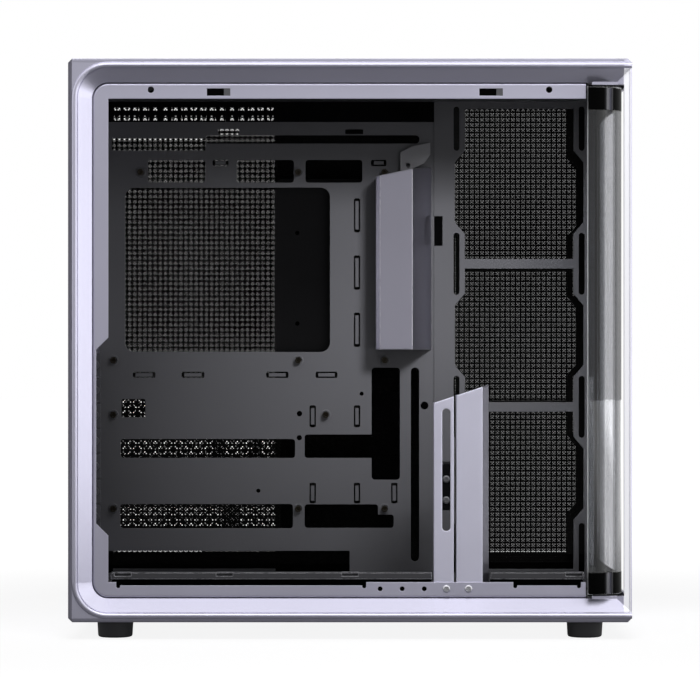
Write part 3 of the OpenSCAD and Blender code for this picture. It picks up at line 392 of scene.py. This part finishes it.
def metal(name, colour, roughness, scale, worn, wear):
    """Plated or turned metal: fine machining streaks in height and roughness, a faint mottled tone
    and worn edges.
    """
    material, t, out = new_material(name)
    where = t.place()
    streak = t.noise(t.add("ShaderNodeMapping", 0, {"Vector": where, "Scale": (1, 1, 12)}),
                     scale, 3.0, 0.6)
    tone = t.ramp(t.noise(where, 90.0, 2.0), 0.3, 0.7, 0.9, 1.06)
    grey = t.add("ShaderNodeCombineColor", 0, {0: tone, 1: tone, 2: tone})
    base = t.mix(1.0, (*colour, 1), grey, "MULTIPLY")
    shader = t.add("ShaderNodeBsdfPrincipled", 0, {
        "Base Color": edge_wear_and_highlight(t, base, worn, 0.0004, wear), "Metallic": 1.0,
        "Roughness": t.ramp(streak, 0.2, 0.8, roughness * 0.8, roughness * 1.25),
        "Normal": rounded_bump(t, streak, 0.15, 0.00003, 0.0002)})
    t.link(shader, out.inputs[0])
    return material


def plastic(name, colour, roughness, grain, bump, worn):
    """Moulded plastic or rubber: a spark-eroded grain, with lighter edges."""
    material, t, out = new_material(name)
    where = t.place()
    fine = t.noise(where, grain, 2.0, 0.5)
    broad = t.noise(where, 40.0, 3.0)
    base = t.mix(t.ramp(broad, 0.3, 0.7, 0.0, 0.25), (*colour, 1), (*worn, 1))
    shader = t.add("ShaderNodeBsdfPrincipled", 0, {
        "Base Color": edge_wear_and_highlight(t, base, worn, 0.0006, 0.3),
        "Roughness": t.ramp(broad, 0.3, 0.7, roughness - 0.05, roughness + 0.06),
        "Normal": rounded_bump(t, fine, bump, 0.00006, 0.0004)})
    t.link(shader, out.inputs[0])
    return material


def mesh_cloth(name, axes, colour, pitch, wire, depth=None, haze=None):
    """Woven dust mesh: open between its wires. axes are the two object coordinates it lies in.
    With depth, (axis, millimetres), only what lies further along that axis is woven, and the rest
    is the moulded frame. haze is for a cloth whose own weave is too fine to see: the (least,
    most) share it covers, between its coarser wires."""
    material, t, out = new_material(name)
    parts = t.add("ShaderNodeSeparateXYZ", None, {0: t.place()})
    a, b = parts.outputs[axes[0]], parts.outputs[axes[1]]
    weave = t.add("ShaderNodeGroup", None, {"A": a, "B": b, "Pitch": pitch, "Wire": wire},
                  node_tree=WEAVE)
    solid = weave.outputs["Solid"]
    if haze:
        solid = t.ramp(solid, 0.0, 1.0, *haze)
    if depth:
        along = parts.outputs[depth[0][-1]]
        if depth[0][0] == "-":
            along = t.times(along, -1.0)
        moulded = t.math("LESS_THAN", along, depth[1] * MM)
        solid = t.math("MAXIMUM", solid, moulded)
    # The base colour is lighter on the crests where the wires cross: a painted highlight.
    shader = t.add("ShaderNodeBsdfPrincipled", 0, {
        "Base Color": t.mix(t.ramp(weave.outputs["Height"], -1.0, 1.0), (*colour, 1),
                            (*[c * 1.8 for c in colour], 1)),
        "Roughness": t.ramp(weave.outputs["Height"], -1.0, 1.0, 0.6, 0.45),
        "Specular IOR Level": 0.1, "Alpha": solid,
        "Normal": t.add("ShaderNodeBump", 0, {"Strength": 0.5, "Distance": 0.0002,
                                              "Height": weave.outputs["Height"]})})
    t.link(shader, out.inputs[0])
    return material


# Tints of the pane: clear, and painted shade where it starts to turn to the front and where it
# has nearly turned. TURN_* are shares of X in its normal between which a tint fades in or out.
CLEAR, TURNING_SHADE, TURNED_SHADE = (0.96, 0.965, 0.99, 1), (0.20, 0.21, 0.23, 1), (0.06, 0.062, 0.07, 1)
TURN_EARLY, TURN_LATE, TURN_FLAT = (0.42, 0.36), (0.70, 0.76), (0.9995, 0.998)


def glass(name):
    """The pane: faintly uneven roughness from handling, painted shade where it bends, with a ground
    edge, and lamps shine through it."""
    material, t, out = new_material(name)
    smear = t.noise(t.place(), 22.0, 4.0, 0.6)
    edge = below("X", INK_START + 0.1)(t)
    turn = t.math("ABSOLUTE", t.normal("X"))
    tint = t.mix(t.ramp(turn, *TURN_EARLY), CLEAR, TURNING_SHADE)
    tint = t.mix(t.times(t.ramp(turn, *TURN_LATE), t.ramp(turn, *TURN_FLAT)), tint, TURNED_SHADE)
    shader = t.add("ShaderNodeBsdfPrincipled", 0, {
        "Base Color": t.mix(edge, tint, (1, 1, 1, 1)),
        "IOR": 1.5, "Transmission Weight": 1.0,
        "Roughness": t.math("MULTIPLY_ADD", edge, 0.6, t.ramp(smear, 0.35, 0.75, 0.0, 0.03))})
    clear = t.add("ShaderNodeBsdfTransparent", 0, {0: (0.85, 0.86, 0.87, 1)})
    lamp = t.add("ShaderNodeLightPath", "Is Shadow Ray")
    t.link(t.add("ShaderNodeMixShader", 0, {0: lamp, 1: shader, 2: clear}), out.inputs[0])
    return material


LILAC, LILAC_EDGE = (0.60, 0.59, 0.72), (0.76, 0.75, 0.84)
GUNMETAL, GUNMETAL_EDGE = (0.055, 0.055, 0.061), (0.17, 0.17, 0.18)
GREY = (0.13, 0.13, 0.14)


def lilac_paint(name, colour=LILAC, worn=LILAC_EDGE, wear=0.35, **parts):
    """The satin lilac coat of the outer pieces."""
    return paint(name, colour, 0.34, 0.85, 0.10, 1500.0, worn, wear, **parts)


def dark_paint(name, worn=GUNMETAL_EDGE, wear=0.35, **parts):
    """The fine textured gunmetal coat of the sheets inside."""
    return paint(name, GUNMETAL, 0.45, 0.30, 0.35, 2400.0, worn, wear, cloud=0.10, **parts)


MATERIALS = {
    "lilac_paint": lilac_paint("lilac_paint"),
    "dark_paint": dark_paint("dark_paint"),
    "pane": glass("pane"),
    "black_trim": paint("black_trim", (0.003, 0.003, 0.0035), 0.4, 0.0, 0.06, 1500.0,
                        (0.01, 0.01, 0.011), 0.3, gloss=0.03),
    "black_plastic": plastic("black_plastic", (0.014, 0.014, 0.015), 0.5, 1600.0, 0.4,
                             (0.04, 0.04, 0.042)),
    "grey_plastic": plastic("grey_plastic", GREY, 0.42, 1800.0, 0.3, (0.22, 0.22, 0.23)),
    "plated_steel": metal("plated_steel", (0.55, 0.55, 0.58), 0.30, 900.0, (0.8, 0.8, 0.82), 0.5),
    "dark_screw": metal("dark_screw", (0.14, 0.14, 0.15), 0.34, 900.0, (0.4, 0.4, 0.42), 0.5),
    "brass_standoff": metal("brass_standoff", (0.03, 0.026, 0.02), 0.35, 1200.0,
                            (0.10, 0.09, 0.07), 0.3),
    "circuit_board": plastic("circuit_board", (0.012, 0.045, 0.025), 0.35, 700.0, 0.5,
                             (0.03, 0.10, 0.05)),
    "foot_rubber": plastic("foot_rubber", (0.03, 0.03, 0.032), 0.55, 1100.0, 0.6,
                           (0.05, 0.05, 0.052)),
}
SLOT_OF = {row["node"]: row["material_slot"] for row in frame["record"]["subparts"]}


def dress(obj, material):
    """Puts one material on a whole piece."""
    obj.data.materials.clear()
    obj.data.materials.append(material)


for node, obj in nodes.items():
    dress(obj, MATERIALS[SLOT_OF[node]])


# New pieces worked out with numpy

def build(name, verts, faces, slot, material=None):
    """Makes an object from arrays of corners (in millimetres) and faces, in the record's slot."""
    data = bpy.data.meshes.new(name)
    data.from_pydata((np.asarray(verts, float) * MM).tolist(), [], [list(f) for f in faces])
    data.update()
    obj = bpy.data.objects.new(name, data)
    scene.collection.objects.link(obj)
    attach(obj, "chassis")
    dress(obj, material or MATERIALS[slot])
    return obj


def cell_sheet(xs, zs, solid, y0, y1):
    """A flat sheet between Y = y0 and y1, cut from the grid of lines xs and zs: each cell where
    solid is true is filled, with faces on both sides and walls only where filled meets open."""
    nx, nz = solid.shape
    step = nz + 1
    layer = (nx + 1) * step
    i, j = np.nonzero(solid)
    a = i * step + j
    near = np.stack([a, a + step, a + step + 1, a + 1], 1)
    faces = [near, near[:, ::-1] + layer]
    padded = np.pad(solid, 1)
    for di, dj, first, second in ((1, 0, step, step + 1), (-1, 0, 1, 0),
                                  (0, 1, step + 1, 1), (0, -1, 0, step)):
        open_there = ~padded[1 + di:1 + di + nx, 1 + dj:1 + dj + nz]
        i, j = np.nonzero(solid & open_there)
        a = i * step + j
        p, q = a + first, a + second
        faces.append(np.stack([q, p, p + layer, q + layer], 1))
    faces = np.concatenate(faces)
    gx, gz = np.meshgrid(xs, zs, indexing="ij")
    flat = np.stack([gx.ravel(), np.zeros(gx.size), gz.ravel()], 1)
    verts = np.concatenate([flat + (0, y0, 0), flat + (0, y1, 0)])
    used, faces = np.unique(faces, return_inverse=True)
    return verts[used], faces.reshape(-1, 4)


def four_walls(n, here, ahead):
    """The faces between four rings of n corners each, from the corners here to those ahead."""
    return [np.stack([r * n + here, r * n + ahead, (r + 1) % 4 * n + ahead,
                      (r + 1) % 4 * n + here], 1) for r in range(4)]


def swept_ring(points, inset, y0, y1):
    """A closed wall: the outline points (anticlockwise seen from -Y) and the same outline drawn in
    by inset along its corners' bisectors, between Y = y0 and y1."""
    p = np.asarray(points, float)
    ahead = np.roll(p, -1, 0) - p
    ahead /= np.linalg.norm(ahead, axis=1)[:, None]
    back = np.roll(ahead, 1, 0)
    normal = np.stack([-ahead[:, 1], ahead[:, 0]], 1)
    before = np.stack([-back[:, 1], back[:, 0]], 1)
    bisector = normal + before
    bisector /= (bisector * normal).sum(1)[:, None]
    inner = p + bisector * inset
    n = len(p)
    rings = [(p, y0), (p, y1), (inner, y1), (inner, y0)]
    verts = np.concatenate([np.stack([r[:, 0], np.full(n, y), r[:, 1]], 1) for r, y in rings])
    k = np.arange(n)
    nxt = (k + 1) % n
    return verts, np.concatenate(four_walls(n, k, nxt))


def join(*parts):
    """Several (corners, faces) pairs as one."""
    verts, faces, base = [], [], 0
    for v, f in parts:
        verts.append(np.asarray(v, float))
        faces += [[int(c) + base for c in face] for face in f]
        base += len(v)
    return np.concatenate(verts), faces


def upright(profile, z0, z1):
    """A closed plan profile drawn up from z0 to z1."""
    p = np.asarray(profile, float)
    n = len(p)
    verts = np.concatenate([np.column_stack([p, np.full(n, z)]) for z in (z0, z1)])
    faces = [[k, (k + 1) % n, (k + 1) % n + n, k + n] for k in range(n)]
    return verts, [list(range(n))[::-1], list(range(n, 2 * n))] + faces


def body_outline():
    """Corners of the case's outline with its four cut corners, anticlockwise seen from -Y."""
    c = CORNER_CUT
    return [(BACK + c, LOW), (FRONT - c, LOW), (FRONT, LOW + c), (FRONT, TOP - c),
            (FRONT - c, TOP), (BACK + c, TOP), (BACK, TOP - c), (BACK, LOW + c)]


# Far side panel with its fine square perforation, in two fields

PERF_PITCH = 4.45
PERF_HOLE = 3.0
# Left edge and number of columns of each field, and lower edge and number of its rows
PERF_FIELDS = [(-206.2, 32), (91.0, 24)]
PERF_Z0, PERF_ROWS = 51.2, 87
# The panel's two tabs behind the back panel: middle heights, half height and length
TAB_Z = (LOW + 14.0, TOP - 60.0)
TAB_HALF, TAB_LONG = 9.0, 26.0
PANEL_PAINT = lilac_paint("panel_paint", black=panel_inside)


def far_panel():
    """The panel's grid lines are the outline, the corner cuts and both edges of every hole; a
    cell is open where it is a hole."""
    lines = [BACK, BACK + CORNER_CUT]
    hole_x = []
    for start, count in PERF_FIELDS:
        left = start + PERF_PITCH * np.arange(count)
        hole_x.append(left)
        lines += list(left) + list(left + PERF_HOLE)
    xs = np.unique(np.round(lines + [FRONT - CORNER_CUT, FRONT], 4))
    low = PERF_Z0 + PERF_PITCH * np.arange(PERF_ROWS)
    zs = np.unique(np.round([LOW, LOW + CORNER_CUT, *low, *(low + PERF_HOLE), TOP - CORNER_CUT,
                             TOP], 4))
    left = np.round(np.concatenate(hole_x), 4)
    open_x = np.isin(xs[:-1], left)
    open_z = np.isin(zs[:-1], np.round(low, 4))
    solid = ~(open_x[:, None] & open_z[None, :])
    verts, faces = cell_sheet(xs, zs, solid, PANEL_Y, FAR)
    for cx in (BACK, FRONT):
        for cz in (LOW, TOP):
            corner = (np.abs(verts[:, 0] - cx) < 1e-6) & (np.abs(verts[:, 2] - cz) < 1e-6)
            verts[corner, 0] -= math.copysign(CORNER_CUT / 2, cx)
            verts[corner, 2] += CORNER_CUT / 2 if cz == LOW else -CORNER_CUT / 2
    parts = [(verts, faces), swept_ring(body_outline(), STEEL, FAR - PANEL_RIM, PANEL_Y)]
    x0, x1 = BACK_X - 2 * STEEL, BACK_X - STEEL
    for z in TAB_Z:
        parts.append(upright([(x0, FAR - TAB_LONG), (x1, FAR - TAB_LONG), (x1, PANEL_Y),
                              (x0, PANEL_Y)], z - TAB_HALF, z + TAB_HALF))
    return build("far_panel", *join(*parts), "lilac_paint", material=PANEL_PAINT)


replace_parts(far_panel(), "right_panel")


# Pieces with a coat of their own

# Just below the bottom rail's front lip, under which the rail is painted black as shade, and just
# in front of the catches' backing plates
RAIL_SHADE_Z, CLIP_PLATE_Y = 45.4, -128.9
# Holder paint: its faces that look towards +X are a dark copy of the lilac, painted shade.
HOLDER_PAINT = lilac_paint("holder_paint", (0.80, 0.79, 0.95), (0.86, 0.85, 0.95), 0.3,
                           radius=0.0013, side=(facing("X", 0.3), (0.12, 0.117, 0.14), 0.85))
DRESSES = {
    "drive_bracket": paint("drive_paint", (0.012, 0.012, 0.013), 0.6, 0.0, 0.35, 2400.0,
                           (0.02, 0.02, 0.021), 0.3, gloss=0.08),
    "motherboard_tray": dark_paint("tray_paint", black=tie_shade),
    # The bottom rail's light edge colour is a painted highlight along its top edge, and below its
    # front lip it is painted black as shade.
    "bottom_rail": dark_paint("rail_highlight_and_shade", (0.6, 0.6, 0.64), 2.5, black=below("Z", RAIL_SHADE_Z)),
    "cover_bracket": paint("hook_paint", GREY, 0.42, 0.3, 0.3, 2400.0, (0.2, 0.2, 0.21), 0.35),
    # The slim bar in front of the pane is painted near-white as a painted highlight.
    "side_frame": paint("frame_paint", LILAC, 0.32, 0.85, 0.02, 1500.0, (0.68, 0.67, 0.78), 0.1,
                        radius=0.0009, crown=True, side=(front_bar, (0.95, 0.95, 1.0), 0.82)),
    # The cable cover's near-white edge colour is a painted highlight along its edges.
    "cable_cover": lilac_paint("cover_paint", (0.40, 0.39, 0.47), (1.0, 0.99, 1.0), 3.0,
                               radius=0.0013),
    "holder_rail": HOLDER_PAINT,
    "holder_plate": HOLDER_PAINT,
    "front_column": lilac_paint("column_paint", inner=("X", (0.055, 0.055, 0.06))),
    "catch_clips": paint("clip_paint", GREY, 0.42, 0.0, 0.3, 1800.0, (0.22, 0.22, 0.23), 0.3,
                         black=behind("Y", CLIP_PLATE_Y)),
}
for node, material in DRESSES.items():
    dress(nodes[node], material)


# The black border printed round the pane, the column's seal and a black sheet of painted shade
# behind a notch

# Thickness of the ink outside the pane, its bands' heights, and the upright band's reach along Y
INK = 0.08
INK_TOP, INK_FOOT = (414.4, 431.6), (35.8, 52.2)
INK_Y = (22.0, 33.0, 44.2)
# How far the ink stands off the pane
INK_GAP = 0.05
# Plans of the column's seal, with a bead along its front edge, and of the black sheet of
# painted shade behind a notch, with their heights. BEAD_Y is just behind the bead's face.
SEAL = [(207.3, 47.35), (207.3, 46.5), (207.7, 46.1), (209.2, 46.1), (209.35, 45.7),
        (209.75, 45.7), (209.9, 46.1), (209.9, 47.35)]
SEAL_Z, BEAD_Y = (43.6, 414.4), 45.9
NOTCH_SHADE = [(70.7, 47.45), (70.7, 47.2), (77.4, 47.2), (77.4, 47.45)]
NOTCH_SHADE_Z = (313.9, 338.7)


def wrapped_band(points, z0, z1):
    """A band of ink outside a path of points in plan, from z0 to z1: each point is moved out by
    the film's thickness, square to the line through its two neighbours."""
    p = np.asarray(points, float)
    along = np.gradient(p, axis=0)
    along /= np.linalg.norm(along, axis=1)[:, None]
    outer = p + np.stack([along[:, 1], -along[:, 0]], 1) * INK
    n = len(p)
    rings = [(p, z0), (outer, z0), (outer, z1), (p, z1)]
    verts = np.concatenate([np.column_stack([r, np.full(n, z)]) for r, z in rings])
    k = np.arange(n - 1)
    ends = np.array([[3 * n, 2 * n, n, 0], [n - 1, 2 * n - 1, 3 * n - 1, 4 * n - 1]])
    return verts, np.concatenate(four_walls(n, k, k + 1) + [ends])


def ink_and_painted_highlight():
    """Black ink with a painted highlight where the pane turns from the side to the front."""
    material, t, out = new_material("ink_and_painted_highlight")
    turn = t.math("ABSOLUTE", t.normal("X"))
    sheen = t.times(t.ramp(turn, 0.40, 0.50), t.ramp(turn, 0.68, 0.58))
    fleck = t.noise(t.place(), 900.0, 2.0)
    shader = t.add("ShaderNodeBsdfPrincipled", 0, {
        "Base Color": t.mix(sheen, (0.0015, 0.0015, 0.0016, 1), (0.17, 0.17, 0.185, 1)),
        "Metallic": sheen, "Roughness": t.ramp(fleck, 0.3, 0.7, 0.14, 0.18),
        "Specular IOR Level": 0.02,
        "Normal": rounded_bump(t, fleck, 0.02, 0.00002)})
    t.link(shader, out.inputs[0])
    return material


def glass_print():
    """The border on the pane: a band round the top and the foot of the corner, whose path is the
    short return, a quarter circle and the front, and an upright one at the pane's far edge."""
    radius = PANE_R + INK_GAP
    turn = np.linspace(0.0, math.pi / 2, 25)
    corner = np.stack([PANE_X + radius * np.sin(turn), PANE_Y - radius * np.cos(turn)], 1)
    front = PANE_X + radius
    path = np.concatenate([[(INK_START, PANE_Y - radius)], corner, [(front, INK_Y[-1])]])
    parts = [wrapped_band(path, *INK_TOP), wrapped_band(path, *INK_FOOT),
             wrapped_band([(front, y) for y in INK_Y], INK_FOOT[1], INK_TOP[0])]
    build("glass_print", *join(*parts), "black_trim", material=ink_and_painted_highlight())


glass_print()
build("column_seal", *upright(SEAL, *SEAL_Z), "black_trim",
      material=paint("seal_rubber", (0.20, 0.20, 0.21), 0.5, 0.0, 0.2, 900.0, (0.3, 0.3, 0.3),
                     0.1, black=behind("Y", BEAD_Y)))
# Painted shade: a black sheet behind the fan bracket's notch.
build("notch_shade", *upright(NOTCH_SHADE, *NOTCH_SHADE_Z), "black_trim")


# Dust meshes and their liner inside the far panel

# The sheets' thickness
CLOTH = 0.3
COARSE = mesh_cloth("coarse_mesh", ("X", "Z"), (0.004, 0.004, 0.004), 0.002225, 0.36)
FINE = mesh_cloth("fine_mesh", ("X", "Z"), (0.003, 0.003, 0.003), 0.0011, 0.5,
                  haze=(0.57, 0.61))
LOOSE = mesh_cloth("loose_mesh", ("X", "Z"), (0.004, 0.004, 0.004), 0.0031, 0.52)

# Windows in the liner, (x0, x1, z0, z1): two rows above the tray, some slits, and those behind
# the tray's low cut-outs
ROWS = [(-204.6 + 8.3 * k, -199.4 + 8.3 * k, z - 1.9, z + 1.9)
        for z in (436.4, 427.8) for k in range(17)]
SLITS = [(-206.0, -126.0, 408.9, 410.8), (-203.0, -129.0, 51.0, 54.6),
         (-115.0, -95.0, 413.0, 415.9), (-115.0, -95.0, 417.2, 419.6)]
WIDE = [(-199.8, -119.0, 134.0, 149.4), (-109.5, -85.1, 134.0, 149.4),
        (-76.5, -66.9, 134.0, 149.4), (-199.0, -178.0, 167.5, 184.2)]
WIDE += [(x0, x1, z0, z1) for x0, x1 in ((-199.8, -111.0), (-95.6, -65.2))
         for z0, z1 in ((83.0, 91.4), (72.4, 79.9))]


def mesh_sheet(name, x0, x1, z0, z1, y, gaps, material):
    """A thin sheet in front of y with window gaps, (x0, x1, z0, z1) each, cut out of it."""
    xs = np.unique([x0, x1] + [g[k] for g in gaps for k in (0, 1)])
    zs = np.unique([z0, z1] + [g[k] for g in gaps for k in (2, 3)])
    mx, mz = (xs[:-1] + xs[1:]) / 2, (zs[:-1] + zs[1:]) / 2
    solid = np.ones((len(mx), len(mz)), bool)
    for g in gaps:
        solid &= ~(((mx > g[0]) & (mx < g[1]))[:, None] & ((mz > g[2]) & (mz < g[3]))[None, :])
    return build(name, *cell_sheet(xs, zs, solid, y - CLOTH, y), "black_plastic",
                 material=material)


mesh_sheet("dust_mesh", -213.0, 213.0, 42.0, 446.0, PANEL_Y - 0.05, [], COARSE)
mesh_sheet("dust_mesh_liner", -208.5, 60.0, 40.0, 443.0, PANEL_Y - 0.5, ROWS + SLITS + WIDE,
           FINE)
mesh_sheet("dust_mesh_low", -208.0, -60.0, 66.0, 190.0, PANEL_Y - 1.0, [], LOOSE)
mesh_sheet("liner_band", -208.0, 60.0, 421.5, 442.0, PANEL_Y - 1.0, ROWS,
           MATERIALS["black_trim"])


# Dust mesh in the filter frames: the woven part is told from the moulded frame by its depth

for node, axes, depth in (("side_filter", ("X", "Z"), ("Y", 140.65)),
                          ("top_filter", ("X", "Y"), ("Z", 438.35)),
                          ("bottom_filter", ("X", "Y"), ("-Z", -29.65))):
    dress(nodes[node], mesh_cloth(node + "_mesh", axes, (0.004, 0.004, 0.004), 0.0012, 0.6,
                                  depth, haze=(0.57, 0.61)))


# Lights, floor and backdrop

# Lamps: name, place, aim, size and power
LAMPS = [
    ("top_softbox", (0.0, -1.4, 1.8), (0.0, -0.1, 0.2), (1.6, 0.8), 14.0),
    ("low_fill", (0.2, -1.0, 0.1), (0.05, 0.0, 0.3), (0.4, 0.2), 2.0),
    ("tray_light", (0.25, -0.7, 0.60), (0.06, 0.05, 0.27), (0.16, 0.14), 0.80),
]
# The tray light is a narrow one, and reaches only what stands inside the case
TRAY_SPREAD = math.radians(34)
INSIDE = ("motherboard_tray", "fan_bracket", "standoffs", "cover_bracket", "bottom_rail",
          "chassis_bottom", "slot_covers", "support_arm")


def area_light(name, location, target, size, power):
    """A rectangular lamp that looks at its target."""
    data = bpy.data.lights.new(name, "AREA")
    data.shape = "RECTANGLE"
    data.size, data.size_y = size
    data.energy = power
    obj = bpy.data.objects.new(name, data)
    obj.location = location
    direction = Vector(target) - Vector(location)
    obj.rotation_euler = direction.to_track_quat("-Z", "Y").to_euler()
    scene.collection.objects.link(obj)
    return obj


lamps = {row[0]: area_light(*row) for row in LAMPS}
for name, lamp in lamps.items():
    lamp.visible_glossy = name == "top_softbox"
inside = bpy.data.collections.new("inside")
for node in INSIDE:
    inside.objects.link(nodes[node])
lamps["tray_light"].data.spread = TRAY_SPREAD
lamps["tray_light"].light_linking.receiver_collection = inside

# What reflections meet on each side of the case, and the level that lights matt surfaces
GLOSS = {"right": 1.85, "left": 1.15, "above": 1.4, "below": 0.05, "behind": 0.45, "front": 0.60}
AMBIENT = 0.04


def seen_directly(t, path):
    """1 for what the camera sees, also through the pane."""
    return t.math("MAXIMUM", path.outputs["Is Camera Ray"], path.outputs["Is Transmission Ray"])


def make_world():
    """White to the camera and through glass. Reflections meet a studio whose level changes softly
    from side to side: the squares of the direction's parts share out the six levels of GLOSS.
    Matt surfaces get the plain level AMBIENT."""
    world = bpy.data.worlds.new("studio")
    scene.world = world
    world.use_nodes = True
    world.node_tree.nodes.clear()
    t = Tree(world.node_tree)
    path = t.add("ShaderNodeLightPath", None)
    seen = seen_directly(t, path)
    way = t.add("ShaderNodeSeparateXYZ", None,
                {0: t.add("ShaderNodeTexCoord", "Generated")})
    studio = 0.0
    for axis, plus, minus in (("X", "right", "left"), ("Y", "behind", "front"),
                              ("Z", "above", "below")):
        square = t.math("POWER", t.math("ABSOLUTE", way.outputs[axis]), 2.0)
        sign = t.math("GREATER_THAN", way.outputs[axis], 0.0)
        side = t.math("MULTIPLY_ADD", sign, GLOSS[plus] - GLOSS[minus], GLOSS[minus])
        studio = t.math("MULTIPLY_ADD", square, side, studio)
    glossy = path.outputs["Is Glossy Ray"]
    level = t.math("ADD", t.times(glossy, studio),
                   t.times(t.math("SUBTRACT", 1.0, glossy), AMBIENT))
    strength = t.math("ADD", seen, t.times(t.math("SUBTRACT", 1.0, seen), level))
    shade = t.add("ShaderNodeBackground", 0, {0: (1, 1, 1, 1), 1: strength})
    t.link(shade, t.add("ShaderNodeOutputWorld", None).inputs[0])


make_world()


# The floor: how white it is near the case, where that starts to rise to full white and is there,
# its level in reflections, and how much that rises to the right, from where to where (metres)
FLOOR_WHITE, WHITE_FROM, WHITE_AT = 0.88, 0.42, 0.95
FLOOR_GLOSS, GLOSS_RISE, RISE_FROM, RISE_TO = 0.08, 2.0, 0.25, 1.3
FLOOR_RINGS = (0.4, 1.0, 3.0, 12.0)
FLOOR_SIDES = 64


def make_floor():
    """A large disc of pale floor: a fan of rings round the middle, white to the camera and
    keeping the case's shadow."""
    n = FLOOR_SIDES
    around = np.arange(n) * 2 * math.pi / n
    rings = [np.stack([r * np.cos(around), r * np.sin(around), np.zeros(n)], 1)
             for r in FLOOR_RINGS]
    verts = np.concatenate([np.zeros((1, 3))] + rings)
    faces = [[0, 1 + k, 1 + (k + 1) % n] for k in range(n)]
    for base in range(1, 1 + n * (len(rings) - 1), n):
        faces += [[base + k, base + n + k, base + n + (k + 1) % n, base + (k + 1) % n]
                  for k in range(n)]
    data = bpy.data.meshes.new("floor")
    data.from_pydata(verts.tolist(), [], faces)
    obj = bpy.data.objects.new("floor", data)
    scene.collection.objects.link(obj)
    material, t, out = new_material("floor")
    soft = t.noise(t.place(), 3.0, 3.0)
    path = t.add("ShaderNodeLightPath", None)
    seen = seen_directly(t, path)
    gloss = t.ramp(t.place("X"), RISE_FROM, RISE_TO, FLOOR_GLOSS, FLOOR_GLOSS + GLOSS_RISE)
    seen = t.math("MAXIMUM", seen, t.times(path.outputs["Is Glossy Ray"], gloss))
    away = t.add("ShaderNodeVectorMath", "Value", {0: t.place()}, operation="LENGTH")
    white = t.ramp(away, WHITE_FROM, WHITE_AT, FLOOR_WHITE, 1.0)
    base = t.add("ShaderNodeBsdfPrincipled", 0, {
        "Base Color": (0.34, 0.34, 0.34, 1), "Roughness": t.ramp(soft, 0.3, 0.7, 0.75, 0.85),
        "Specular IOR Level": 0.0, "Emission Color": (1, 1, 1, 1),
        "Emission Strength": t.times(seen, white)})
    t.link(base, out.inputs[0])
    data.materials.append(material)


make_floor()
